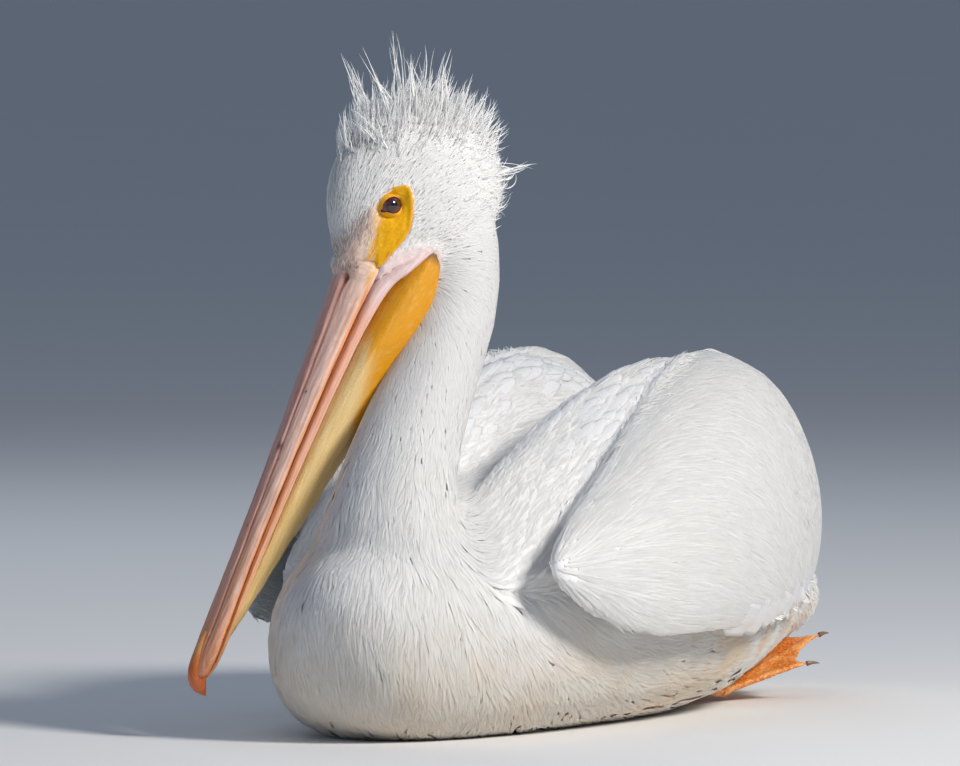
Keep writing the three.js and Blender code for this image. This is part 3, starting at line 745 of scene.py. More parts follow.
unwrapped(small)
me = small.data
me.calc_loop_triangles()
UV_V = arrays(me)[0]
tri_loops = np.empty(len(me.loop_triangles) * 3, np.int32)
me.loop_triangles.foreach_get("loops", tri_loops)
tri_verts = np.empty(len(me.loop_triangles) * 3, np.int32)
me.loop_triangles.foreach_get("vertices", tri_verts)
uv_all = np.empty(len(me.loops) * 2, np.float32)
me.uv_layers["OFBake"].uv.foreach_get("vector", uv_all)
UV_T = tri_verts.reshape(-1, 3)
UV_UV = uv_all.reshape(-1, 2)[tri_loops.reshape(-1, 3)]
uv_tree = BVHTree.FromPolygons(UV_V.tolist(), UV_T.tolist())
bpy.data.objects.remove(small)
skin_mesh.uv_layers.new(name="OFBake")
unwrapped(skin, 0.001)
said("unwrap")


def root_uv(points):
    loc, face = nearest(uv_tree, points)
    w = barycentric(loc, UV_V[UV_T[face]])
    return np.clip(np.einsum("nk,nkc->nc", w, UV_UV[face]), 0.002, 0.998)


# ====================================================================== the coat
TRI_MID = SKIN[ST].mean(1)
TRI_AREA = np.linalg.norm(np.cross(SKIN[ST[:, 1]] - SKIN[ST[:, 0]], SKIN[ST[:, 2]] - SKIN[ST[:, 0]]), axis=1) / 2
# triangles in the order of a space-filling curve, so that even counts spread evenly
cell = np.clip(((TRI_MID - TRI_MID.min(0)) / 0.0035), 0, 1023).astype(np.int64)
code = np.zeros(len(cell), np.int64)
for bit in range(10):
    for c in range(3):
        code |= ((cell[:, c] >> bit) & 1) << (3 * bit + c)
ORDER = np.argsort(code, kind="stable")


def at_tri(values):
    return values[ST].mean(1)


def scatter(weight, spacing, seed):
    """Roots spread evenly: one for each spacing squared of skin, where weight (0 to 1, by vertex) allows."""
    r = np.random.default_rng(seed)
    gap = at_tri(spacing) if not np.isscalar(spacing) else np.full(len(ST), float(spacing))
    count = TRI_AREA * np.clip(at_tri(weight), 0, 1) / (gap * MM) ** 2
    total = np.cumsum(count[ORDER])
    n = int(total[-1])
    pick = ORDER[np.searchsorted(total, (np.arange(n) + r.uniform(0.05, 0.95, n)), side="left").clip(0, len(ORDER) - 1)]
    a, b = r.random(n), r.random(n)
    flip = a + b > 1
    a[flip], b[flip] = 1 - a[flip], 1 - b[flip]
    w = np.stack([1 - a - b, a, b], 1)
    tri = ST[pick]
    return np.einsum("nk,nkc->nc", w, SKIN[tri]), tri, w


def read(values, tri, w):
    return np.einsum("nk,nkc->nc", w, values.reshape(len(values), -1)[tri])


def read1(values, tri, w):
    return read(values, tri, w)[:, 0]


def trace(points, tri, w, length, segs, turn, gravity=0.0, flow=None, fly=0.35):
    """Follow the lie over the skin, and fly on where the skin turns away under a tip.
    Returns places, normals, directions, coat depths for segs + 1 stations."""
    flow = S_FLOW if flow is None else flow
    P, N, D, C = [points], [unit(read(KN, tri, w))], [], [read1(COAT, tri, w)]
    place = points
    flying = np.zeros(len(points), bool)
    for k in range(segs):
        d = read(flow, tri, w)
        n = N[-1]
        d = rotate_about(unit(d - n * (d * n).sum(1)[:, None]), n, turn * (1 - 0.35 * k / segs))
        if gravity:
            d = unit(d + np.array([0, 0, -gravity]))
            d = unit(d - n * (d * n).sum(1)[:, None])
        if k:
            d = np.where(flying[:, None], D[-1], d)
            d = unit(d + 0.8 * D[-1])
        D.append(d)
        stride = (length / segs)[:, None] * np.where(flying, fly, 1.0)[:, None]
        ahead = place + d * stride
        loc, face = nearest(skin_tree, ahead)
        tri = ST[face]
        w = barycentric(loc, SKIN[tri])
        found = unit(read(KN, tri, w))
        flying |= (found * n).sum(1) < 0.35
        flying |= np.linalg.norm(loc - ahead, axis=1) > 0.75 * stride[:, 0]
        place = np.where(flying[:, None], ahead, loc)
        P.append(place)
        N.append(np.where(flying[:, None], n, found))
        C.append(np.where(flying, C[-1], read1(COAT, tri, w)))
    D.append(D[-1])
    return (np.stack(v, 1) for v in (P, N, D, C))


def locks(name, weight, spacing, length, width, depth=1.0, thick=0.5, segs=3, lift=0.6, seed=1, wander=0.25,
          clump=0.0, clump_size=0.02, blunt=0.5, cup=0.25, gravity=0.0, up=0.0, most=199000, tips=None,
          length_jitter=0.25, keep=None, flow=None, soft=0.30, low=0.55, uneven_by=(0.93, 1.04)):
    """Overlapping tufts over the skin. Sizes in millimetres, as numbers or one for each skin vertex."""
    r = np.random.default_rng(seed)
    P0, tri, w = scatter(weight, spacing, seed)
    if keep is not None:
        ok = keep(P0)
        P0, tri, w = P0[ok], tri[ok], w[ok]
    tris_each = 6 * (segs - 1) + 4
    if len(P0) * tris_each > most:
        said(name, "thinned from", len(P0) * tris_each)
        ok = r.random(len(P0)) < most / (len(P0) * tris_each)
        P0, tri, w = P0[ok], tri[ok], w[ok]
    n = len(P0)

    def value(v):
        return np.full(n, float(v)) if np.isscalar(v) else read1(np.asarray(v, float), tri, w)
    L = value(length) * r.uniform(1 - length_jitter, 1 + length_jitter, n) * MM
    W = value(width) * r.uniform(0.75, 1.25, n) * MM
    turn = r.normal(0, wander, n) + clump * waves(P0 / MM, clump_size / MM, seed + 5, 1)
    P, N, D, C = trace(P0, tri, w, L, segs, turn, gravity, flow)
    s = np.linspace(0, 1, segs + 1)[None, :]
    rise = value(lift)[:, None] * MM * r.uniform(0.2, 1.6, n)[:, None]
    h = C * MM * depth * (low + (1 - low) * (1 - (1 - s) ** 1.6)) * r.uniform(*uneven_by, n)[:, None] + rise * s ** 2
    if np.any(np.asarray(up) != 0):
        h = h + value(up)[:, None] * MM * s ** 1.6
    shape = np.minimum(1, 0.50 + 2.4 * s) * np.maximum(1 - s, 0) ** blunt
    half = 0.5 * W[:, None] * shape
    T = (value(thick) * MM)[:, None] * (0.35 + 0.65 * np.sqrt(np.maximum(1 - s, 0)))
    side = unit(np.cross(N, D))
    top = P + N * (h + 0.0)[..., None]
    edge = N * (h - T - cup * half)[..., None]
    left, right = P + side * half[..., None] + edge, P - side * half[..., None] + edge
    tip = top[:, -1] - N[:, -1] * (0.5 * T[:, -1])[:, None]
    body = np.stack([left[:, :-1], top[:, :-1], right[:, :-1]], 2)      # n, segs, 3, xyz
    per = 3 * segs + 1
    verts = np.concatenate([body.reshape(n, -1, 3), tip[:, None]], 1).reshape(-1, 3)
    verts[:, 2] = np.maximum(verts[:, 2], 0.0004)
    base = (np.arange(n) * per)[:, None, None]
    quads = []
    for j in range(segs - 1):
        for c in range(3):
            a, b2 = 3 * j + c, 3 * j + (c + 1) % 3
            quads.append([a, b2, b2 + 3, a + 3])
    quads = np.array(quads)
    t = 3 * (segs - 1)
    tris = np.array([[t, t + 1, per - 1], [t + 1, t + 2, per - 1], [t + 2, t, per - 1], [2, 1, 0]])
    quads = (quads[None] + base).reshape(-1, 4)
    tris = (tris[None] + base).reshape(-1, 3)
    # maps: the patch at the root for the bake, and a number for each lock with the way along it
    uv0 = root_uv(P0) - 0.0015
    local = np.zeros((per, 2))
    for j in range(segs):
        local[3 * j:3 * j + 3] = [[0, j / segs], [0.5, j / segs - (0.12 if j == 0 else 0)], [1, j / segs]]
    local[per - 1] = [0.5, 1]
    bake = (uv0[:, None] + local[None] * 0.003).reshape(-1, 2)
    strand = np.empty((n, per, 2))
    strand[:, :, 0] = r.random(n)[:, None]
    strand[:, :, 1] = np.append(np.repeat(np.arange(segs) / segs, 3), 1.0)[None]
    comb = np.empty((n, per, 2))
    comb[:, :-1, 0] = np.stack([half, 0 * half, -half], 2)[:, :-1].reshape(n, -1) / MM + (r.random(n) * 900)[:, None]
    comb[:, -1, 0] = comb[:, 1, 0]
    comb[:, :, 1] = strand[:, :, 1] * L[:, None] / MM + (r.random(n) * 900)[:, None]
    ob = build(name, verts, [quads, tris], {"OFBake": bake, "Strand": strand.reshape(-1, 2), "Comb": comb.reshape(-1, 2)})
    # shade each tuft mostly as the plumage it lies in, so that the coat reads as soft
    lean = N[:, :-1] + 0.10 * D[:, :-1]
    shade = np.stack([unit(lean + soft * side[:, :-1]), unit(lean), unit(lean - soft * side[:, :-1])], 2).reshape(n, -1, 3)
    shade = np.concatenate([shade, unit(N[:, -1:] + 0.2 * D[:, -1:])], 1).reshape(-1, 3)
    turned = np.zeros((n, segs - 1, 3, 4), bool)
    turned[:, :, 2] = True                   # the undersides face the other way
    under = np.zeros((n, 4, 3), bool)
    under[:, 2] = True
    corners = np.concatenate([quads.ravel(), tris.ravel()])
    flip = np.where(np.concatenate([turned.ravel(), under.ravel()]), -1.0, 1.0)
    ob.data.normals_split_custom_set((shade[corners] * flip[:, None]).astype(np.float32).tolist())
    said(name, n, "tufts", n * tris_each, "triangles")
    return ob

# ===================================================================== bill and pouch
def srgb(r, g, b):
    c = np.array([r, g, b], float) / 255
    return np.where(c <= 0.04045, c / 12.92, ((c + 0.055) / 1.055) ** 2.4)


def blend(a, b, t):
    t = np.asarray(t, float)[..., None]
    return a * (1 - t) + b * t


def bell(x, middle, width):
    return np.exp(-((np.asarray(x, float) - middle) / width) ** 2)


def rounded(points, times=2):
    """Corner cutting on an open line that keeps its ends."""
    p = np.asarray(points, float)
    for _ in range(times):
        q = np.empty((2 * len(p) - 2, p.shape[1]))
        q[0::2], q[1::2] = 0.78 * p[:-1] + 0.22 * p[1:], 0.22 * p[:-1] + 0.78 * p[1:]
        p = np.vstack([p[:1], q, p[-1:]])
    return p


def resampled(points, count):
    d = np.append(0, np.cumsum(np.linalg.norm(np.diff(points, axis=0), axis=1)))
    t = np.linspace(0, d[-1], count)
    return np.stack([np.interp(t, d, points[:, c]) for c in range(points.shape[1])], 1)


def in_plane_normals(rings):
    d = np.roll(rings, -1, 1) - np.roll(rings, 1, 1)
    n = np.stack([d[..., 1], -d[..., 0]], -1)
    n /= np.maximum(np.linalg.norm(n, axis=-1, keepdims=True), 1e-9)
    outward = ((rings - rings.mean(1, keepdims=True)) * n).sum((1, 2)).mean()
    return n if outward > 0 else -n


def superring(count, w, up, down, n_up, n_down):
    a = np.arange(count) / count * 2 * math.pi
    c, s = np.cos(a), np.sin(a)
    n = np.where(s >= 0, n_up, n_down)
    return np.stack([np.sign(c) * np.abs(c) ** (2 / n) * w,
                     np.sign(s) * np.abs(s) ** (2 / n) * np.where(s >= 0, up, down)], 1)


def horn(name, streak=0.5, rough=0.42, coat=0.12, ridge=0.35, fleck=0.5):
    m = Nodes(name)
    tint = m.attribute("Tint", "Color")
    grain = m.node("ShaderNodeCombineXYZ")
    m.put(grain.inputs[0], m.attribute("across"))
    m.put(grain.inputs[1], m.attribute("along"))
    g = grain.outputs[0]
    long_fine = m.noise(m.scaled(g, (1.5, 0.035, 1)), 1.0, 5.0, 0.65, 0.3)
    long_wide = m.noise(m.scaled(g, (0.42, 0.012, 1)), 1.0, 3.0, 0.55, 0.4)
    flakes = m.noise(m.scaled(g, (0.7, 0.11, 1)), 1.0, 4.0, 0.7, 0.8)
    base = m.mix(m.span(long_fine, 0.36, 0.66, streak, 0.0), tint, m.mix(0.62, tint, (0.20, 0.075, 0.05)))
    base = m.mix(m.span(long_wide, 0.48, 0.74, 0.0, streak * 0.8), base, m.mix(0.6, tint, (0.93, 0.82, 0.72)))
    base = m.mix(m.span(flakes, 0.60, 0.72, 0.0, fleck), base, m.mix(0.55, tint, (0.96, 0.90, 0.84)))
    dirt = m.noise(m.scaled(g, (0.5, 0.2, 1)), 1.0, 2.0, 0.5)
    base = m.mix(m.span(dirt, 0.70, 0.78, 0.0, 0.5), base, (0.16, 0.06, 0.035))
    rises = m.math("ADD", m.math("MULTIPLY", long_fine, 1.0), m.math("MULTIPLY", flakes, 0.45))
    m.set(Base_Color=base, Roughness=m.span(flakes, 0.3, 0.7, rough - 0.1, rough + 0.12),
          Normal=m.bump(rises, ridge, 0.0006))
    m.shader.inputs["Coat Weight"].default_value = coat
    m.shader.inputs["Coat Roughness"].default_value = 0.25
    return m.mat


def tinted(name, rings3, rings2, alongs, tint, material, instead, closed=True, blunt=0.0):
    if blunt:           # the far end is rounded off
        reach = np.array([0.45, 0.8, 1.0]) * blunt
        share = np.sqrt(np.maximum(1 - (reach / blunt) ** 2, 0.02))
        mid3, mid2 = rings3[-1].mean(0), rings2[-1].mean(0)
        rings3 = np.concatenate([rings3] + [(mid3 + (rings3[-1] - mid3) * q + ALONG * d * MM)[None] for q, d in zip(share, reach)])
        rings2 = np.concatenate([rings2] + [(mid2 + (rings2[-1] - mid2) * q)[None] for q in share])
        alongs = np.append(alongs, alongs[-1] + reach)
        tint = np.concatenate([tint, np.repeat(tint[-1:], 3, 0)])
    verts, faces = loft(rings3)
    n = rings2.shape[1]
    across = np.concatenate([rings2[..., 0].ravel(), rings2[0, :, 0].mean(keepdims=True), rings2[-1, :, 0].mean(keepdims=True)])
    upv = np.concatenate([rings2[..., 1].ravel(), rings2[0, :, 1].mean(keepdims=True), rings2[-1, :, 1].mean(keepdims=True)])
    al = np.concatenate([np.repeat(alongs, n), alongs[:1], alongs[-1:]])
    colour = np.vstack([tint.reshape(-1, 3), tint[0].mean(0), tint[-1].mean(0)])
    ob = build(name, verts, faces, {}, {"across": across + 0.6 * upv, "along": al}, colour)
    ob.data.uv_layers.new(name="OFBake")
    unwrapped(ob)
    return wear(ob, material, instead=instead)


def met(rings, a, above, reach=14.0):
    """How far to push a horn's root, in millimetres, so that it comes out of the skin without a step."""
    normal = in_plane_normals(rings)
    out = np.full(a.shape, np.nan)
    for i in np.flatnonzero(a[:, 0] < 0.5):
        start = on_bill(a[i], rings[i, :, 1] + normal[i, :, 1] * reach, rings[i, :, 0] + normal[i, :, 0] * reach)
        way = -(normal[i, :, 1:] * ABOVE + normal[i, :, :1] * ASIDE)
        for k in range(a.shape[1]):
            hit = skin_tree.ray_cast(Vector(start[k]), Vector(way[k]), 0.022)
            if hit[0] is not None and abs(reach - hit[3] / MM) < 7:
                out[i, k] = reach - hit[3] / MM
    good = np.isfinite(out)
    for k in range(a.shape[1]):
        rows = np.flatnonzero(good[:, k])
        out[:, k] = np.interp(a[:, 0], a[rows, 0], out[rows, k]) if len(rows) else 0.0
    for _ in range(12):
        out = 0.5 * out + 0.125 * (np.roll(out, 1, 1) + np.roll(out, -1, 1)) + 0.125 * (np.vstack([out[:1], out[:-1]]) + np.vstack([out[1:], out[-1:]]))
    return (np.clip(out, -3.0, 6.0) + above - 1.1 * step(-4, -9, a)) * step(6.5, -1.0, a)


# -- upper mandible
table = smooth_rows(BILL_UPPER, 260)
half_profiles = []
for along, w, top, mouth, drop in table:
    edge = top - drop
    prof = [[0, top], [0.3, top - drop * 0.12], [0.48, top - drop * 0.5], [0.8, edge - (edge - mouth) * 0.1],
            [1, edge - (edge - mouth) * 0.5], [0.97, mouth], [0.55, mouth + 1.2], [0, mouth + 2]]
    half_profiles.append(resampled(rounded(np.array(prof) * [w, 1], 2), 60))
half_profiles = np.array(half_profiles)
rings = np.concatenate([half_profiles, half_profiles[:, -2:0:-1] * [-1, 1]], 1)
a = table[:, 0][:, None] * np.ones(rings.shape[1])
w = table[:, 1][:, None]
side = rings[..., 0] / w                       # -1 right edge, 1 left edge
rel = (rings[..., 1] - table[:, 3][:, None]) / (table[:, 2] - table[:, 3])[:, None]   # 0 at the mouth, 1 on the ridge
topside = step(0.25, 0.55, rel)
flat = np.stack([a.ravel() * 0.12, rings[..., 0].ravel() * 1.3, rings[..., 1].ravel() * 1.3], 1)
fine = waves(flat, 3.2, 31, 3).reshape(a.shape)
plate = topside * step(0.43, 0.37, np.abs(side)) * step(-6, 14, a)
groove = topside * bell(np.abs(side), 0.445, 0.045) * step(2, 16, a) * step(316, 285, a)
lower_groove = bell(rel, 0.38, 0.07) * (np.abs(side) > 0.6) * step(4, 20, a) * step(300, 250, a)
curl = 0.50 - 0.10 * np.clip((a - 6.5) / 6.0, -1, 1) ** 2 * (a < 6.5) - 0.05 * np.clip((a - 6.5) / 6, 0, 1)
nostril = bell(a, 6.2, 6.2) * bell(np.abs(side), curl, 0.075) * topside
push = 0.55 * plate - 0.75 * groove - 0.35 * lower_groove + 0.17 * fine - 2.0 * nostril
push += 0.4 * bell(rel, 0.06, 0.10) * (np.abs(side) > 0.7)
push += met(rings, a, 0.22) * step(0.10, 0.22, rel)
rings = rings + in_plane_normals(rings) * push[..., None]
rings3 = on_bill(a, rings[..., 1], rings[..., 0])
# colours by place: flesh pink, creamy flanks, orange at the mouth edge and the tip
rose, cream, flesh = srgb(218, 166, 156), srgb(242, 212, 196), srgb(234, 182, 164)
orange, deep, shade_and_mottle = srgb(238, 152, 84), srgb(228, 128, 40), srgb(150, 102, 104)
n1 = waves(np.stack([a.ravel() * 0.05, rings[..., 0].ravel(), rings[..., 1].ravel()], 1), 7.0, 33, 3).reshape(a.shape)
col = blend(flesh, cream, step(0.30, 0.75, np.abs(side)) * step(0.95, 0.4, rel) * 0.95)
col = blend(col, rose, plate * 0.75)
# mauve: painted shade on the ridge plate's far (right) side, and random mottling on the top
col = blend(col, shade_and_mottle, plate * 0.35 * step(-0.2, -0.9, side) + 0.25 * step(0.1, 1.0, n1) * topside)
col = blend(col, orange, step(0.36, 0.10, rel) * (0.55 + 0.3 * n1) * step(-12, 20, a))
col = blend(col, orange, np.clip(step(120, 290, a) * (0.42 + 0.22 * n1), 0, 1))
col = blend(col, srgb(240, 138, 36), bell(rel, 0.10, 0.07) * (np.abs(side) > 0.6) * step(-8, 8, a) * 0.75)
col = blend(col, deep, step(262, 316, a) * 0.55)
# red-brown in the ridge grooves and pinkish-brown in the lower grooves: painted shade in these creases
col = blend(col, srgb(120, 60, 50), np.clip(groove * 0.45, 0, 1))
col = blend(col, srgb(196, 120, 96), np.clip(lower_groove * 0.5, 0, 1))
# skin at the bill's root: pale, and darker mottled brown on the far (right) side as painted shade
root_skin = blend(srgb(232, 196, 176), srgb(176, 132, 116), np.clip(0.5 + 0.5 * n1, 0, 1) * step(0.2, -0.3, side))
col = blend(col, 0.5 * root_skin + 0.5 * srgb(236, 206, 190), step(16, -2, a) * 0.75)
col = blend(col, srgb(132, 52, 36), np.clip(nostril * 1.2, 0, 0.95))
col = blend(col, srgb(240, 176, 24), step(15, 2, a) * step(0.40, 0.26, rel) * step(0.08, 0.2, rel) * (np.abs(side) > 0.8) * 0.6)
for at, across, size in ((140, 0.35, 2.2), (96, 0.62, 0.8), (150, 0.5, 0.7), (203, 0.15, 0.6), (58, 0.2, 0.6)):
    col = blend(col, srgb(70, 34, 26), np.exp(-(((a - at) / (size * 1.6)) ** 2 + ((side - across) * w / size) ** 2)) * topside)
HORN = horn("horn_pink")
bill_upper = tinted("bill_upper_horn", rings3, rings, table[:, 0], col, HORN, ["bill_upper"], blunt=5.0)

# -- nail
table = smooth_rows(NAIL, 70)
rings = np.array([superring(64, w, (t - b) / 2, (t - b) / 2, 2.3, 2) + [0, (t + b) / 2] for _, w, t, b in table])
a = table[:, 0][:, None] * np.ones(64)
fine = waves(np.stack([a.ravel() * 0.3, rings[..., 0].ravel(), rings[..., 1].ravel()], 1), 2.6, 35, 2).reshape(a.shape)
rings = rings + in_plane_normals(rings) * (0.10 * fine)[..., None]
rings3 = on_bill(a, rings[..., 1], rings[..., 0])
col = blend(srgb(236, 150, 62), srgb(214, 104, 28), step(292, 322, a))
col = blend(col, srgb(244, 190, 120), bell(a, 300, 6) * 0.5)
nail = tinted("nail_horn", rings3, rings, table[:, 0], col, horn("horn_nail", 0.35, 0.32, 0.3, 0.2, 0.2), ["bill_nail"])

# -- lower mandible
table = smooth_rows(BILL_LOWER, 230)
rings = np.array([superring(84, w, (t - b) / 2, (t - b) / 2, 3, 2.6) + [0, (t + b) / 2] for _, w, t, b in table])
a = table[:, 0][:, None] * np.ones(84)
rel = (rings[..., 1] - table[:, 3][:, None]) / (table[:, 2] - table[:, 3])[:, None]
flat = np.stack([a.ravel() * 0.1, rings[..., 0].ravel(), rings[..., 1].ravel()], 1)
fine = waves(flat, 3.0, 37, 3).reshape(a.shape)
line = bell(rel, 0.45, 0.08) * step(0, 20, a)
rings = rings + in_plane_normals(rings) * (0.16 * fine - 0.4 * line + 1.1 * step(-2, -14, a))[..., None]
rings3 = on_bill(a, rings[..., 1], rings[..., 0])
n1 = waves(flat, 8.0, 39, 3).reshape(a.shape)
col = blend(srgb(240, 190, 170), srgb(232, 160, 128), step(0.3, 0.95, rel))
col = blend(col, srgb(240, 168, 104), step(0.72, 0.98, rel) * 0.8)
col = blend(col, srgb(236, 196, 150), step(0.35, 0.0, rel) * 0.8)
col = blend(col, srgb(236, 168, 92), np.clip(step(70, 290, a) * (0.55 + 0.2 * n1), 0, 1))
col = blend(col, srgb(236, 214, 214), step(44, -2, a) * 0.92)
# brownish along the mouth line's groove: painted shade in the crease
col = blend(col, srgb(190, 110, 80), np.clip(line * 0.3, 0, 1))
lower = tinted("mandible_horn", rings3, rings, table[:, 0], col, horn("horn_lower", 0.35, 0.45, 0.1, 0.25, 0.3), ["bill_lower"], blunt=4.0)

# -- pouch
table = smooth_rows(POUCH, 230)
rings = []
for along, w, top, low in table:
    mid = top - (top - low) * 0.22
    rings.append(superring(120, w, top - mid, mid - low, 2.4, 1.7) + [0, mid])
rings = np.array(rings)
a = table[:, 0][:, None] * np.ones(120)
rel = (table[:, 2][:, None] - rings[..., 1]) / (table[:, 2] - table[:, 3])[:, None]   # 0 at the jaw, 1 at the lowest edge
sd = np.sign(rings[..., 0])
lined = np.stack([a.ravel() * 0.055, rings[..., 0].ravel() * 0.7, rings[..., 1].ravel()], 1)
fold = waves(lined, 6.5, 41, 3).reshape(a.shape)
fine = waves(lined * [2.2, 1, 1], 2.2, 43, 2).reshape(a.shape)
pits = waves(np.stack([a.ravel(), rings[..., 0].ravel(), rings[..., 1].ravel()], 1), 3.0, 45, 2).reshape(a.shape)
push = 0.42 * fold * step(0.05, 0.3, rel) + 0.12 * fine + 0.12 * pits * step(60, -10, a)
push -= 0.8 * bell(a, 58, 5) * step(0.75, 1.0, rel)
push += 0.7 * bell(a, 66, 4) * step(0.85, 1.0, rel)
rings = rings + in_plane_normals(rings) * push[..., None]
rings3 = on_bill(a, rings[..., 1], rings[..., 0])
cream, golden, amber = srgb(234, 210, 156), srgb(226, 156, 0), srgb(204, 112, 0)
turn_gold = np.interp(a, [-40, 15, 60, 100, 140], [-0.3, -0.15, 0.22, 0.55, 1.25])
depth = step(turn_gold - 0.18, turn_gold + 0.16, rel + 0.05 * fold)
col = blend(cream, golden, np.clip(depth * 1.1 + 0.10 * fold, 0, 1))
col = blend(col, srgb(232, 202, 132), np.clip(step(90, 210, a) * (0.5 + 0.2 * fold), 0, 1) * (1 - 0.6 * depth))
streaks = np.clip(0.5 + 0.9 * fold + 0.5 * fine, 0, 1)
col = blend(col, amber, np.clip(step(0.30, 0.85, rel) * step(70, 6, a) * streaks * 0.9, 0, 1))
col = blend(col, srgb(176, 96, 8), np.clip(step(0.2, 0.6, rel) * step(0, -34, a) * streaks * 0.6, 0, 1))
col = blend(col, srgb(222, 204, 150), np.clip(bell(fine, 1.2, 0.35) * 0.25, 0, 1))
# olive-brown in the hollows of the folds: painted shade
col = blend(col, srgb(172, 128, 30), np.clip(step(0.1, -0.9, fold) * 0.18, 0, 1))
col = blend(col, srgb(246, 184, 4), bell(a, 66, 5) * step(0.8, 1.0, rel) * 0.9)
col = blend(col, srgb(70, 44, 24), step(-24, -33, a) * 0.9)
m = Nodes("pouch_skin")
tint = m.attribute("Tint", "Color")
grain = m.node("ShaderNodeCombineXYZ")
m.put(grain.inputs[0], m.attribute("across"))
m.put(grain.inputs[1], m.attribute("along"))
lines = m.noise(m.scaled(grain.outputs[0], (1.1, 0.05, 1)), 1.0, 5.0, 0.65, 0.5)
pores = m.noise(m.scaled(grain.outputs[0], (1.3, 1.1, 1)), 1.0, 3.0, 0.7)
base = m.mix(m.span(lines, 0.38, 0.62, 0.30, 0.0), tint, m.mix(0.55, tint, (0.48, 0.24, 0.004)))
base = m.mix(m.span(pores, 0.38, 0.60, 0.40, 0.0), base, m.mix(0.6, tint, (0.50, 0.24, 0.004)))
base = m.mix(m.span(pores, 0.60, 0.74, 0.0, 0.20), base, m.mix(0.5, tint, (0.98, 0.86, 0.40)))
m.set(Base_Color=base, Roughness=0.46, Normal=m.bump(m.math("ADD", lines, m.math("MULTIPLY", pores, 0.8)), 0.5, 0.0007))
m.shader.inputs["Subsurface Weight"].default_value = 0.12
m.shader.inputs["Subsurface Radius"].default_value = (0.004, 0.002, 0.001)
m.shader.inputs["Subsurface Scale"].default_value = 0.5
pouch = tinted("pouch_membrane", rings3, rings, table[:, 0], col, m.mat, ["pouch"])
said("bill")

# ============================================================================= eyes
OPEN_LONG = np.array([-0.455, -0.890])    # across the opening, in (along, up): its rear end
OPEN_SHORT = np.array([0.890, -0.455])    # towards the lower lid
R_OPEN_LONG, R_OPEN_SHORT = 7.7, 6.3


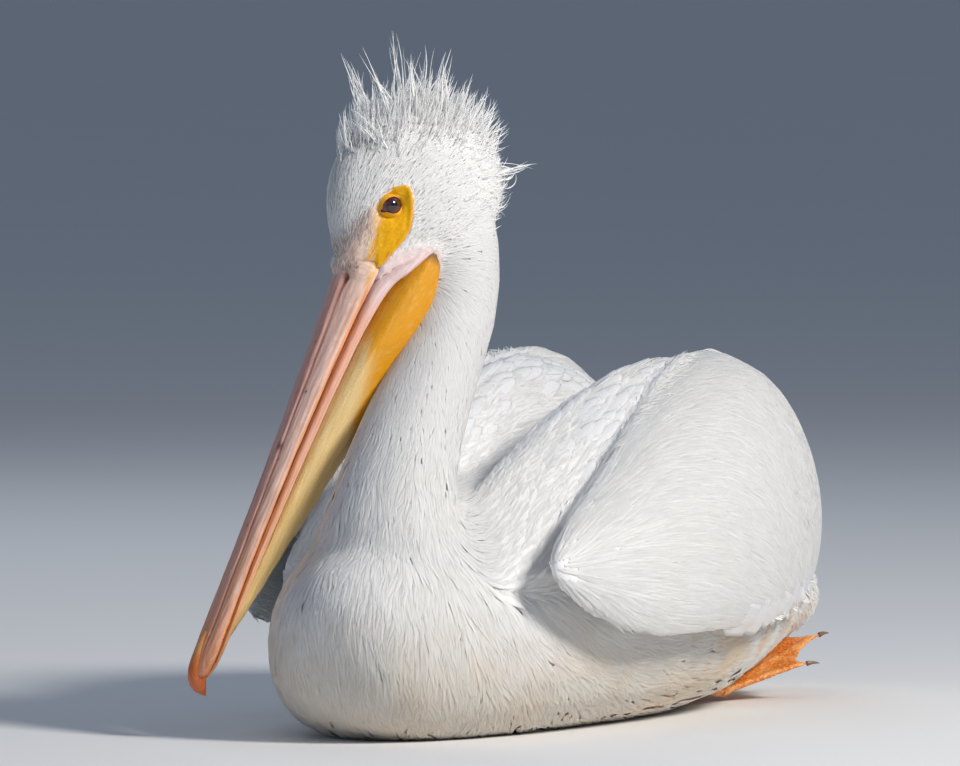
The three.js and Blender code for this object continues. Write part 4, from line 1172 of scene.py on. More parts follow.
def eye_parts(sign, tag):
    centre = np.array([EYE_ALONG, EYE_UP])
    # ball with a raised cornea; its axis points out and a little forward
    rows, n = 60, 72
    polar = np.linspace(0.02, math.pi - 0.02, rows)[:, None]
    turn = np.linspace(0, 2 * math.pi, n, endpoint=False)[None, :]
    bulge = 0.75 * np.clip(1 - (polar / 0.78) ** 2, 0, 1) ** 0.75
    r = BALL + bulge + 0 * turn
    x, y, z = r * np.sin(polar) * np.cos(turn), r * np.sin(polar) * np.sin(turn), r * np.cos(polar)
    ball = on_bill(EYE_ALONG + x, EYE_UP + y, sign * (EYE_SIDE + BALL_OUT + z))
    verts, faces = loft(ball)
    angle = np.concatenate([np.broadcast_to(polar, (rows, n)).ravel(), [0.0, math.pi]])
    spin = np.concatenate([np.broadcast_to(turn, (rows, n)).ravel(), [0.0, 0.0]])
    ob = build("eyeball_" + tag, verts, faces, {}, {"polar": angle, "spin": spin})
    m = Nodes("eye_" + tag)
    ang = m.attribute("polar")
    rays = m.node("ShaderNodeCombineXYZ")
    m.put(rays.inputs[0], m.math("MULTIPLY", m.math("SINE", m.attribute("spin")), 9.0))
    m.put(rays.inputs[1], m.math("MULTIPLY", m.math("COSINE", m.attribute("spin")), 9.0))
    m.put(rays.inputs[2], m.math("MULTIPLY", ang, 2.0))
    fibre = m.noise(rays.outputs[0], 1.6, 4.0, 0.6)
    iris = m.mix(m.span(fibre, 0.3, 0.7), (0.026, 0.009, 0.010), (0.085, 0.028, 0.028))
    iris = m.mix(m.span(ang, 0.50, 0.72), iris, (0.060, 0.018, 0.026))
    base = m.mix(m.span(ang, 0.27, 0.33), (0.004, 0.003, 0.003), iris)
    base = m.mix(m.span(ang, 0.78, 0.84), base, (0.16, 0.045, 0.035))
    m.set(Base_Color=base, Roughness=0.16)
    m.shader.inputs["Coat Weight"].default_value = 1.0
    m.shader.inputs["Coat Roughness"].default_value = 0.02
    m.shader.inputs["Specular IOR Level"].default_value = 0.35
    ob.data.uv_layers.new(name="OFBake")
    unwrapped(ob)
    wear(ob, m.mat, instead=["eye_" + tag])

    # lids: one closed roll of skin from the eye's opening out to the face
    n, outward = 128, 22
    t = np.linspace(0, 2 * math.pi, n, endpoint=False)
    # the opening narrows to a point at its front lower corner
    c, s = np.cos(t), np.sin(t)
    front = np.clip(-c, 0, 1)
    reach = 1 + 0.20 * bell(t, math.pi * 0.86, 0.20)
    oval = (OPEN_LONG[None] * (c * R_OPEN_LONG * reach)[:, None]
            + OPEN_SHORT[None] * (s * R_OPEN_SHORT * (1 - 0.12 * front) + 1.5 * bell(t, math.pi * 0.83, 0.28))[:, None])
    upper = np.clip(-s, 0, 1)
    wide = OPEN_LONG[None] * (c * (10.9 - 1.1 * front))[:, None] + OPEN_SHORT[None] * (s * (9.9 - 1.2 * upper))[:, None]

    def skin_side(ab):
        """How far out the skin lies at places given along and above the bill's line."""
        out = np.empty(len(ab))
        start = on_bill(ab[:, 0], ab[:, 1], np.full(len(ab), sign * 60.0))
        for i, p in enumerate(start):
            hit = skin_tree.ray_cast(Vector(p), Vector(-sign * ASIDE), 0.06)
            out[i] = 60 - (hit[3] / MM if hit[0] is not None else 40)
        return out
    q = np.linspace(0, 1, outward)
    roll = []
    rim_at = centre + oval
    rim_r2 = (oval ** 2).sum(1)
    on_ball = EYE_SIDE + BALL_OUT + np.sqrt(np.maximum((BALL + 0.62) ** 2 - rim_r2, 4.0))
    far = skin_side(centre + wide) - 0.7
    for k in q:
        ab = centre + oval * (1 - k) + wide * k
        ease = k * k * (3 - 2 * k)
        out = on_ball * (1 - ease) + far * ease
        out = out + 0.40 * math.sin(math.pi * min(1, k * 1.25)) ** 2 * (0.75 + 0.35 * c)      # the lid's swell
        out = out - 0.30 * math.exp(-((k - 0.30) / 0.09) ** 2) + 0.30 * math.exp(-((k - 0.06) / 0.05) ** 2)
        out = out + 0.22 * np.sin(t * 17 + 5 * math.sin(9 * k)) * math.exp(-((k - 0.55) / 0.25) ** 2)
        roll.append(on_bill(ab[:, 0], ab[:, 1], sign * out))
    for k in (0.9, 0.5, 0.12):            # back through the head, behind the lids
        ab = centre + oval * (1 - k) + wide * k
        out = on_ball * (1 - k) + far * k - 3.2
        roll.append(on_bill(ab[:, 0], ab[:, 1], sign * out))
    inner = centre + oval * 0.90
    roll.append(on_bill(inner[:, 0], inner[:, 1], sign * (on_ball - 0.9)))
    roll = np.array(roll)
    rows = len(roll)
    i, k2 = np.meshgrid(np.arange(rows), np.arange(n), indexing="ij")
    f = np.stack([i * n + k2, i * n + (k2 + 1) % n, ((i + 1) % rows) * n + (k2 + 1) % n, ((i + 1) % rows) * n + k2], -1).reshape(-1, 4)
    verts = roll.reshape(-1, 3)
    tri = np.concatenate([f[:, [0, 1, 2]], f[:, [0, 2, 3]]])
    if np.einsum("ij,ij->", verts[tri[:, 0]], np.cross(verts[tri[:, 1]], verts[tri[:, 2]])) < 0:
        f = f[:, ::-1]
    kk = np.concatenate([q, [0.9, 0.5, 0.12], [0.0]])[:, None] * np.ones(n)
    rear = np.clip(c, 0, 1)[None] * np.ones((rows, 1))
    yellow, orange_rim, red = srgb(240, 178, 2), srgb(240, 150, 90), srgb(120, 44, 34)
    rim = step(0.22 + 0.30 * rear, 0.04, kk) * (0.25 + 0.75 * rear + 0.35 * step(0.6, 1.0, -s)[None])
    col = blend(yellow, orange_rim, np.clip(rim, 0, 1))
    corner = (bell(t, math.pi * 0.85, 0.22))[None] * step(0.5, 0.0, kk)
    col = blend(col, srgb(190, 96, 70), corner * 0.7)
    col = blend(col, red, step(0.06, 0.0, kk) * 0.9)
    # deeper gold in the lid's furrow: painted shade
    col = blend(col, srgb(228, 150, 4), np.exp(-((kk - 0.30) / 0.09) ** 2) * 0.3)
    ob = build("eyelid_" + tag, verts, f, {}, None, col.reshape(-1, 3))
    m = Nodes("lid_" + tag)
    crepe = m.noise(scale=900.0, detail=4.0, rough=0.6)
    tint = m.attribute("Tint", "Color")
    m.set(Base_Color=m.mix(m.span(crepe, 0.35, 0.65, 0.25, 0.0), tint, m.mix(0.5, tint, (0.45, 0.18, 0.0))),
          Roughness=0.42, Normal=m.bump(crepe, 0.35, 0.0004))
    ob.data.uv_layers.new(name="OFBake")
    unwrapped(ob)
    wear(ob, m.mat)
    return ob


eye_parts(1, "left")
eye_parts(-1, "right")
said("eyes")

# ========================================================================= the coat
def soft_normals(ob, normals):
    ob.data.normals_split_custom_set_from_vertices(normals.astype(np.float32).tolist())


yS, zS, xS = SKIN[:, 1], SKIN[:, 2], SKIN[:, 0]
aS, uS, sS = in_bill(SKIN)
upness = KN[:, 2]
# how long each part of the coat is, blending from velvet on the neck to long wet locks on the breast
down_neck = step(0.315, 0.13, zS) * np.clip(S_NECK + S_TRUNK, 0, 1)
head_w = np.clip(S_HEAD, 0, 1)
to_bill = step(-80, -8, aS) * head_w                     # 1 at the bill, 0 at the ears
allowed = (1 - step(0.35, 0.65, BARE)) * np.where(head_w > 0.3, step(3, -3, aS), 1.0)
near_eye = np.hypot(aS - EYE_ALONG, (uS - EYE_UP)) 
allowed *= np.where(head_w > 0.3, step(8.5, 10.0, near_eye), 1.0)
belly = (S_TRUNK > 0.3) * step(-0.5, -0.85, upness)
visible = 1 - 0.75 * belly

WHITE = plumage("plumage_white", strands=0.34, relief=0.40)
BREAST = plumage("plumage_breast", shade=(0.82, 0.82, 0.835), root=0.5, strands=0.42, relief=0.45)
SATIN = plumage("plumage_satin", tone=(0.95, 0.95, 0.94), shade=(0.90, 0.905, 0.925), rough=0.5, root=0.3, strands=0.46, relief=0.35, fine=1.5)
DOWN = plumage("plumage_down", tone=(0.96, 0.96, 0.955), shade=(0.86, 0.875, 0.91), root=0.4, strands=0.30, relief=0.30, fine=2.6)


def grey_down(name, tone, shade):
    m = Nodes(name)
    u, s = m.parts(m.uv("Strand"))[:2]
    base = m.mix(m.span(s, 0.0, 0.7, 1.0, 0.0), tone, shade)
    base = m.mix(m.span(u, 0.2, 1.0, 0.0, 0.8, smooth=False), base, (0.84, 0.80, 0.77))
    m.set(Base_Color=base, Roughness=0.6)
    return m.mat


LORE = grey_down("down_lores", (0.56, 0.44, 0.38), (0.40, 0.29, 0.25))
CHEEK_DOWN = grey_down("down_cheek", (0.84, 0.80, 0.79), (0.68, 0.61, 0.58))

# -- head: hair-like feathers, shortest round the bill and the bare skin
uneven = waves(SKIN / MM, 9.0, 50, 2)
crown = head_w * step(-0.15, 0.65, upness + 0.12 * uneven) * step(-46, -82, aS + 5 * uneven) * step(0.400, 0.435, zS + 0.004 * uneven)
nape = head_w * step(0.0, 0.5, -(KN @ FORWARD)) * step(0.36, 0.40, zS) * step(-9, -16, PATCH_D) * step(-52, -76, aS)
face_len = 12.5 - 7.5 * to_bill - 3.0 * step(8, 0, np.abs(np.maximum(PATCH_D, CHEEK_D)))
short = np.clip(face_len, 3.0, 14)
thin_cut = (1 - 0.55 * THIN) * (1 - 0.88 * CREAM)
left_half = (sS > 0).astype(float)
for tag, half, seed in (("left", left_half, 51), ("right", 1 - left_half, 52)):
    wear(locks("coat_head_" + tag, head_w * allowed * half * thin_cut * (1 - 0.6 * crown), 1.55 + 0.1 * crown, short, 1.25 - 0.45 * to_bill,
               thick=0.22, segs=3, lift=0.25 + 0.35 * (1 - to_bill), seed=seed, wander=0.13, clump=0.25, clump_size=0.011,
               cup=0.08, blunt=0.7, low=0.75, uneven_by=(0.97, 1.02)), DOWN)
wear(locks("coat_crown", np.clip(crown + 0.5 * nape, 0, 1) * allowed, 2.1, 11.5 + 6 * crown ** 1.5, 1.30, thick=0.22, segs=4,
           lift=0.3 + 1.2 * crown ** 2, up=3.4 * crown ** 3 + 0.9 * nape,
           seed=53, wander=0.30, clump=0.45, clump_size=0.018, cup=0.12, blunt=0.8, low=0.3), DOWN)
wear(locks("coat_nape", nape * allowed, 4.2, 20, 1.1, thick=0.3, segs=5, lift=2.5, up=3.0, seed=54, wander=0.4,
           clump=0.5, clump_size=0.015, blunt=1.0), DOWN)
wear(locks("down_lores", np.clip(THIN + 0.22 * CREAM, 0, 1) * allowed * step(6, 1, aS), 1.75, 6.0, 0.45, thick=0.2, segs=3, lift=0.5, seed=55,
           wander=0.28, blunt=0.9), LORE)
streaked = step(-20, -5, CHEEK_D) * step(10, 4, CHEEK_D) * (1 - step(-2, 1, PATCH_D)) * step(1, -6, aS) * step(-12, -20, uS)
wear(locks("down_cheek", streaked, 2.3, 7.5, 0.5, thick=0.16, segs=3,
           lift=0.4, seed=56, wander=0.22, blunt=0.9), CHEEK_DOWN)

# -- neck to breast
neck_all = S_NECK * (1 - head_w * 0.5)
size = down_neck
wear(locks("coat_neck_upper", neck_all * step(0.225, 0.245, zS) * allowed, 2.05, 14.0, 2.7, thick=0.14, segs=3, lift=0.08, seed=61,
           wander=0.07, clump=0.15, clump_size=0.014, cup=0.05, blunt=0.65, low=0.82, uneven_by=(0.975, 1.015)), DOWN)
wear(locks("coat_neck_lower", neck_all * step(0.245, 0.225, zS), 2.4 + 1.7 * size, 14 + 15 * size, 3.0 + 3.0 * size, thick=0.14 + 0.20 * size,
           segs=4, lift=0.10 + 0.20 * size, seed=62, wander=0.07, clump=0.30, clump_size=0.022, cup=0.05, blunt=0.7,
           low=0.80, uneven_by=(0.97, 1.02)), BREAST)
front = S_TRUNK * step(-0.02, -0.10, yS) * (1 - S_NECK)
side_w = S_TRUNK * (1 - step(-0.02, -0.10, yS)) * (1 - S_NECK)
wear(locks("coat_breast", front * visible, 4.32, 31, 6.8, thick=0.32, segs=5, lift=0.30, seed=63, wander=0.07, clump=0.40, clump_size=0.026,
           cup=0.06, blunt=0.75, most=150000, low=0.78, uneven_by=(0.965, 1.025)), BREAST)
wear(locks("coat_flanks", side_w * visible, 5.8, 34, 8.4, thick=0.32, segs=5, lift=0.30, seed=64, wander=0.08, clump=0.40, clump_size=0.030,
           cup=0.06, blunt=0.7, most=125000, low=0.78, uneven_by=(0.965, 1.025)), WHITE)
rump = S_TRUNK * step(0.20, 0.28, yS)
wear(locks("coat_rump", rump * (1 - 0.6 * belly), 6.0, 26, 5.4, thick=0.6, segs=5, lift=1.2, up=1.2, seed=65, wander=0.35, clump=0.5,
           clump_size=0.03, blunt=0.8), WHITE)

# -- shoulders: lanceolate, with a scalloped front edge and a ragged rim over the wing's front
wear(locks("coat_shoulders", S_SHOULDER, 5.2, 30 + 7 * step(-0.1, 0.1, yS), 6.6, thick=0.30, segs=5, lift=0.30, seed=66, wander=0.12,
           clump=0.30, clump_size=0.035, cup=0.08, blunt=0.6, most=165000), WHITE)
wear(locks("coat_shoulder_edge", S_SHOULDER * step(-0.02, -0.12, yS), 7.4, 25, 9.5, thick=0.5, segs=5, lift=1.2, seed=67, wander=0.2,
           cup=0.20, blunt=0.42), WHITE)
outward = np.stack([np.sign(xS), 0 * xS, -0.35 + 0 * xS], 1)
to_wing = unit(S_FLOW + 0.75 * unit(outward - KN * (outward * KN).sum(1)[:, None]))
border = step(0.06, 0.25, S_WING) * step(0.92, 0.70, S_WING) * (yS < 0.06) * (zS > 0.12)
wear(locks("coat_shoulder_rim", border, 2.7, 19, 2.6, thick=0.4, segs=5, lift=1.6, up=0.8, seed=68, wander=0.42, clump=0.5, clump_size=0.012,
           cup=0.15, blunt=0.8, flow=to_wing), DOWN)

# -- wings: satin coverts, narrower where the surface bends sharply
bend = step(0.01, 0.10, 1 - np.linalg.norm(averaged(KN, SE, 6), axis=1))
for tag, sgn in (("left", 1), ("right", -1)):
    w_side = S_WING * (xS * sgn > 0) * step(-0.85, -0.45, upness)
    wear(locks("coat_wing_" + tag, w_side, 4.65 - 1.1 * bend, 40 - 24 * bend, 5.8 - 3.2 * bend, thick=0.18, segs=4, lift=0.03, seed=70 + (sgn > 0), wander=0.045,
               clump=0.10, clump_size=0.05, cup=0.10, blunt=0.6, most=192000, low=0.62), SATIN)
said("coat")

# ============================================================== large feathers and wisps
def vanes(name, P, N, S, half, camber=0.12, thick=0.45, cols=5, seed=5, bake=None, shaft=0.35, bend=None):
    """Whole feathers from their middle lines: places, normals, sides (n, stations, 3) and half widths (n, stations), metres.
    Each is one closed blade with a raised shaft."""
    n, rows, _ = P.shape
    r = np.random.default_rng(seed)
    q = np.linspace(-1, 1, cols)
    sag = -camber * np.abs(q) ** 1.6
    ridge = shaft * MM * np.exp(-(q / 0.16) ** 2)
    wide = half[:, :, None] * q[None, None, :]
    high = half[:, :, None] * sag[None, None, :] + ridge[None, None, :]
    top = P[:, :, None] + S[:, :, None] * wide[..., None] + N[:, :, None] * high[..., None]
    body = thick * MM * (0.35 + 0.65 * (1 - np.abs(q) ** 3))[None, None, :, None] * N[:, :, None]
    bottom = top - body
    verts = np.stack([top, bottom], 1).reshape(n, -1, 3)
    per = 2 * rows * cols
    quads = []

    def at(layer, j, c):
        return layer * rows * cols + j * cols + c
    for j in range(rows - 1):
        for c in range(cols - 1):
            quads.append([at(0, j, c), at(0, j, c + 1), at(0, j + 1, c + 1), at(0, j + 1, c)])
            quads.append([at(1, j, c), at(1, j + 1, c), at(1, j + 1, c + 1), at(1, j, c + 1)])
        quads.append([at(0, j, 0), at(0, j + 1, 0), at(1, j + 1, 0), at(1, j, 0)])
        quads.append([at(0, j, cols - 1), at(1, j, cols - 1), at(1, j + 1, cols - 1), at(0, j + 1, cols - 1)])
    for c in range(cols - 1):
        quads.append([at(0, 0, c), at(1, 0, c), at(1, 0, c + 1), at(0, 0, c + 1)])
        quads.append([at(0, rows - 1, c), at(0, rows - 1, c + 1), at(1, rows - 1, c + 1), at(1, rows - 1, c)])
    quads = np.array(quads)
    v0 = verts[0]
    tri = np.concatenate([quads[:, [0, 1, 2]], quads[:, [0, 2, 3]]])
    if np.einsum("ij,ij->", v0[tri[:, 0]] - v0.mean(0), np.cross(v0[tri[:, 1]] - v0.mean(0), v0[tri[:, 2]] - v0.mean(0))) < 0:
        quads = quads[:, ::-1]
    verts = verts.reshape(-1, 3)
    verts[:, 2] = np.maximum(verts[:, 2], 0.0006)
    faces = (quads[None] + (np.arange(n) * per)[:, None, None]).reshape(-1, 4)
    local = np.zeros((per, 2))
    for layer in range(2):
        for j in range(rows):
            for c in range(cols):
                local[at(layer, j, c)] = [c / (cols - 1), j / (rows - 1)]
    strand = np.empty((n, per, 2))
    strand[:, :, 0] = r.random(n)[:, None]
    strand[:, :, 1] = local[None, :, 1]
    vane = np.broadcast_to(local[None] * [2, 1] - [1, 0], (n, per, 2)).copy()
    vane[:, :, 1] += np.arange(n)[:, None] * 1.37
    uv0 = root_uv(P[:, 0]) if bake is None else bake
    # a larger patch for a whole feather, edges kept apart so that no face has zero width
    patch = local + np.repeat([[0, 0], [0.02, 0.015]], rows * cols, 0)
    uv = (uv0[:, None] + (patch[None] - 0.5) * 0.006).reshape(-1, 2)
    ob = build(name, verts, faces, {"OFBake": np.clip(uv, 0.001, 0.999), "Strand": strand.reshape(-1, 2), "Vane": vane.reshape(-1, 2)})
    said(name, n, "feathers", len(faces) * 2, "triangles")
    return ob


def feather_outline(rows, tip=0.22, root=0.45, point=0.5):
    s = np.linspace(0, 1, rows)
    return np.minimum(1, root + 2.2 * s) * np.clip(1 - np.clip((s - 1 + tip) / tip, 0, 1) ** 2, 0.0, 1) ** point + 0.012


def vane_look(name, tone, shade, rough=0.5, dark_shaft=None, barbs=0.5, stain=True, edge=None):
    m = Nodes(name)
    q, v = m.parts(m.uv("Vane"))[:2]
    u, s = m.parts(m.uv("Strand"))[:2]
    aq = m.math("ABSOLUTE", q)
    slant = m.node("ShaderNodeCombineXYZ")
    m.put(slant.inputs[0], m.math("MULTIPLY", q, 1.5))
    m.put(slant.inputs[1], m.math("SUBTRACT", m.math("MULTIPLY", v, 70.0), m.math("MULTIPLY", aq, 9.0)))
    barb = m.noise(slant.outputs[0], 1.0, 3.0, 0.6)
    base = m.mix(m.span(s, 0.0, 0.5, 1.0, 0.0), tone, shade)
    base = m.mix(m.span(barb, 0.35, 0.65, 0.30, 0.0), base, shade)
    lines = m.node("ShaderNodeCombineXYZ")
    m.put(lines.inputs[0], m.math("MULTIPLY", m.math("ADD", q, m.math("MULTIPLY", u, 50.0)), 7.0))
    m.put(lines.inputs[1], m.math("MULTIPLY", v, 1.6))
    strand = m.noise(lines.outputs[0], 1.0, 3.0, 0.6)
    base = m.mix(m.span(strand, 0.36, 0.60, barbs * 0.8, 0.0), base, shade)
    if edge is not None:
        base = m.mix(m.span(aq, 0.72, 1.0, 0.0, 0.7), base, edge)
    if dark_shaft is not None:
        base = m.mix(m.span(aq, 0.05, 0.10, 0.85, 0.0), base, dark_shaft)
    if stain:
        base = stained(m, base)
    m.set(Base_Color=base, Roughness=rough, Normal=m.bump(m.math("ADD", barb, m.math("MULTIPLY", strand, 1.4)), barbs, 0.00022))
    m.shader.inputs["Sheen Weight"].default_value = 0.1
    m.shader.inputs["Specular IOR Level"].default_value = 0.35
    return m.mat


def lines_from_skin(weight, spacing, length, width, rows, seed, depth=1.0, lift=1.0, wander=0.1, roots=None, flow=None, tip=0.22, root=0.45,
                    point=0.5, jitter=0.12):
    r = np.random.default_rng(seed)
    P0, tri, w = scatter(weight, spacing, seed)
    n = len(P0)

    def value(x):
        return np.full(n, float(x)) if np.isscalar(x) else read1(np.asarray(x, float), tri, w)
    L = value(length) * r.uniform(1 - jitter, 1 + jitter, n) * MM
    turn = r.normal(0, wander, n)
    P, N, D, C = trace(P0, tri, w, L, rows - 1, turn, 0.0, flow)
    for _ in range(3):           # ease the lines
        P[:, 1:-1] = 0.5 * P[:, 1:-1] + 0.25 * (P[:, :-2] + P[:, 2:])
        N[:, 1:-1] = 0.5 * N[:, 1:-1] + 0.25 * (N[:, :-2] + N[:, 2:])
        N[:, -1] = 0.5 * N[:, -1] + 0.5 * N[:, -2]
    D = unit(np.gradient(P, axis=1))
    N = unit(N - D * (N * D).sum(2)[..., None])
    s = np.linspace(0, 1, rows)[None]
    h = C * MM * depth * (0.35 + 0.65 * (1 - (1 - s) ** 1.8)) + value(lift)[:, None] * MM * s ** 1.5 * r.uniform(0.5, 1.4, n)[:, None]
    S = unit(np.cross(N, D))
    P = P + N * h[..., None]
    half = 0.5 * MM * value(width)[:, None] * r.uniform(0.88, 1.12, n)[:, None] * feather_outline(rows, tip, root, point)[None]
    return P, N, S, half


# Vane colours are darker than the coat's white: painted shade standing in for the shade the tufted coat casts on
# itself; the quills darker still, as painted shade on the wing's downward-facing lower rim.
VANE_WHITE = vane_look("vane_white", (0.76, 0.765, 0.775), (0.67, 0.69, 0.73))
VANE_QUILL_SHADED = vane_look("vane_quill_painted_shade", (0.66, 0.67, 0.695), (0.56, 0.58, 0.62))
VANE_BLACK = vane_look("vane_black", (0.030, 0.026, 0.024), (0.012, 0.011, 0.011), 0.42, (0.16, 0.11, 0.07), 0.7, False, (0.055, 0.048, 0.044))

# -- crest: long wisps to named tips, and many lesser ones round them
UPWARD = np.array([0.0, 0.0, 1.0])


def wisps(name, roots, tips, widths, segs=9, seed=3, sway=0.10, sides=4, curl=0.0):
    """Tapering hair feathers of a rounded diamond section, from roots to tips."""
    n = len(roots)
    r = np.random.default_rng(seed)
    s = np.linspace(0, 1, segs + 1)[None, :, None]
    span = tips - roots
    size = np.linalg.norm(span, axis=1)
    loc, face = nearest(skin_tree, roots)
    normal = unit(read(KN, ST[face], barycentric(loc, SKIN[ST[face]])))
    start = unit(span * 0.5 / size[:, None] + normal * 0.9)
    bow = unit(np.cross(span, r.normal(size=(n, 3)))) * (size * r.uniform(-sway, sway, n))[:, None]
    control = roots + start * (size * 0.42)[:, None]
    P = (1 - s) ** 2 * roots[:, None] + 2 * s * (1 - s) * control[:, None] + s ** 2 * tips[:, None]
    P = P + bow[:, None] * np.sin(s * math.pi) * s
    T = unit(np.gradient(P, axis=1))
    A = unit(np.cross(T, r.normal(size=(n, 1, 3))))
    B = np.cross(T, A)
    rad = 0.5 * MM * widths[:, None] * (np.maximum(1 - s[..., 0], 0) ** 0.62 * 0.92 + 0.05) * np.minimum(1, 0.6 + 2 * s[..., 0])
    angle = np.arange(sides) / sides * 2 * math.pi
    ring = P[:, :, None] + rad[..., None, None] * (A[:, :, None] * np.cos(angle)[None, None, :, None] * 1.25
                                                 + B[:, :, None] * np.sin(angle)[None, None, :, None] * 0.7)
    per = (segs + 1) * sides
    verts = ring.reshape(-1, 3)
    quads = []
    for j in range(segs):
        for c in range(sides):
            quads.append([j * sides + c, j * sides + (c + 1) % sides, (j + 1) * sides + (c + 1) % sides, (j + 1) * sides + c])
    quads.append([3, 2, 1, 0])
    quads.append([segs * sides + c for c in range(4)])
    quads = np.array(quads)
    faces = (quads[None] + (np.arange(n) * per)[:, None, None]).reshape(-1, 4)
    local = np.zeros((per, 2))
    for j in range(segs + 1):
        for c in range(sides):
            local[j * sides + c] = [(0.0, 0.45, 1.0, 0.55)[c], j / segs + (0.0, 0.03, 0.0, -0.03)[c]]
    strand = np.empty((n, per, 2))
    strand[:, :, 0] = r.random(n)[:, None]
    strand[:, :, 1] = np.repeat(np.linspace(0, 1, segs + 1), sides)[None]
    uv = (root_uv(roots)[:, None] + (local[None] - 0.5) * 0.003).reshape(-1, 2)
    comb = strand * [900.0, 30.0]
    ob = build(name, verts, faces, {"OFBake": np.clip(uv, 0.0005, 0.9995), "Strand": strand.reshape(-1, 2), "Comb": comb.reshape(-1, 2)})
    said(name, n, "wisps", len(faces) * 2, "triangles")
    return ob


r = np.random.default_rng(91)
roots, tips, widths = [], [], []
for f, h, s in CREST:
    raised = 12.0 * step(20, 80, h)          # the photo's tips stand this much above the solid's
    tip = HEAD_MIDDLE + (FORWARD * f + UPWARD * (h + raised) + ASIDE * s) * MM
    if (f, h) == (53, 50):
        tip = HEAD_MIDDLE + (FORWARD * 57 + UPWARD * 62 + ASIDE * s) * MM
    source = HEAD_MIDDLE + (FORWARD * f * 0.50 + UPWARD * (h * 0.5) + ASIDE * s * 0.8) * MM
    source = np.array(skin_tree.find_nearest(Vector(source))[0][:])
    for k in range(9):           # each tip is a lock of a few wisps that meet
        j = 0 if k == 0 else 1
        roots.append(source + r.normal(0, 3.0, 3) * MM * (0.3 + j))
        tips.append(tip + j * (r.normal(0, 3.2, 3) * MM) - j * (tip - source) * r.uniform(0.02, 0.42))
        widths.append(2.1 if k == 0 else r.uniform(1.0, 1.7))
P0, tri, w = scatter(np.clip(crown, 0, 1) ** 1.6, 3.5, 92)
N0 = unit(read(KN, tri, w))
D0 = unit(read(S_FLOW, tri, w))
C0 = read(crown, tri, w)
front_top = step(-0.2, 0.5, (P0 / MM - HEAD_MIDDLE / MM) @ FORWARD / 60.0)
reach = (r.uniform(11, 26, len(P0)) + 7 * r.random(len(P0)) ** 3) * MM
for p, n0, d0, l, c0 in zip(P0, N0, D0, reach, C0):
    c0 = float(np.clip(c0, 0, 1)) ** 1.5
    way = unit(n0 * r.uniform(0.35, 0.9) * (0.12 + 0.88 * c0) + d0 * r.uniform(0.6, 1.1) * (1.3 - c0) + UPWARD * 0.45 * c0 + r.normal(0, 0.14, 3))
    roots.append(p)
    tips.append(p + way * l * (0.5 + 0.5 * c0))
    widths.append(r.uniform(0.9, 1.6) * (0.55 + 0.45 * c0))
P0, tri, w = scatter(np.clip(nape, 0, 1) * step(0.30, 0.38, zS), 6.5, 93)
N0, D0 = unit(read(KN, tri, w)), unit(read(S_FLOW, tri, w))
for p, n0, d0 in zip(P0, N0, D0):
    way = unit(n0 * r.uniform(0.1, 0.4) + d0 * 0.9 + r.normal(0, 0.16, 3))
    roots.append(p)
    tips.append(p + way * r.uniform(10, 22) * MM)
    widths.append(r.uniform(0.6, 1.0))
roots, tips, widths = np.array(roots), np.array(tips), np.array(widths)
tips[:, 2] = np.minimum(tips[:, 2], CAD_BOX[1][2] + 0.0125)
wear(wisps("crest_wisps", roots - 0.0008 * UPWARD, tips, widths, segs=7, seed=94), DOWN, instead=["crest"])

# -- fine down where the forehead meets the bill, ending in a point on the ridge
n = 420
side_at = r.uniform(-1, 1, n)
ahead = r.uniform(-7.5, 1.0, n) + 5.5 * (1 - np.abs(side_at)) ** 1.5 * r.uniform(0.3, 1.0, n)
shape = smooth_rows(BILL_UPPER, 260)
w_at, top_at = np.interp(ahead, shape[:, 0], shape[:, 1]), np.interp(ahead, shape[:, 0], shape[:, 2])
over = top_at - 7.0 * np.abs(side_at) ** 2.2
size = r.uniform(4.0, 6.5, n)
roots = on_bill(ahead, over - 0.2, side_at * 0.80 * w_at)
tips = on_bill(ahead - size, over + 0.4 + size * (0.55 - 0.1 * np.abs(side_at)) + r.normal(0, 0.5, n), side_at * 0.80 * w_at * (1 + 0.045 * size) + r.normal(0, 1.0, n))
white_at = (side_at < 0.42)
wear(wisps("down_bill_white", roots[white_at], tips[white_at], r.uniform(0.45, 0.8, white_at.sum()), segs=3, seed=95, sway=0.05), DOWN)
wear(wisps("down_bill_brown", roots[~white_at], tips[~white_at], r.uniform(0.35, 0.6, (~white_at).sum()), segs=3, seed=96, sway=0.05), LORE)

def back_from(ends, length, rows, beyond, flow=None, lift=1.2, drop=0.0):
    """Lines that end a little beyond given places on the skin, found by walking back up the lie."""
    loc, face = nearest(skin_tree, ends)
    tri = ST[face]
    w = barycentric(loc, SKIN[tri])
    n = len(ends)
    P, N, D, C = trace(loc, tri, w, length * MM, rows - 3, np.zeros(n), 0.0, -(S_FLOW if flow is None else flow))
    P, N, C = P[:, ::-1], N[:, ::-1], C[:, ::-1]
    last = unit(P[:, -1] - P[:, -2])
    more = [P[:, -1] + last * (beyond * k / 2)[:, None] * MM - N[:, -1] * (drop * k * MM) for k in (1, 2)]
    P = np.concatenate([P, np.stack(more, 1)], 1)
    N = np.concatenate([N, N[:, -1:], N[:, -1:]], 1)
    C = np.concatenate([C, C[:, -1:], C[:, -1:]], 1)
    for _ in range(4):
        P[:, 1:-1] = 0.5 * P[:, 1:-1] + 0.25 * (P[:, :-2] + P[:, 2:])
        N[:, 1:-1] = 0.5 * N[:, 1:-1] + 0.25 * (N[:, :-2] + N[:, 2:])
    D = unit(np.gradient(P, axis=1))
    N = unit(N - D * (N * D).sum(2)[..., None])
    s = np.linspace(0, 1, P.shape[1])[None]
    P = P + N * (C * MM * (0.10 + 1.02 * step(0.30, 0.80, s)) + lift * MM * s ** 3)[..., None]
    return P, N, unit(np.cross(N, D))


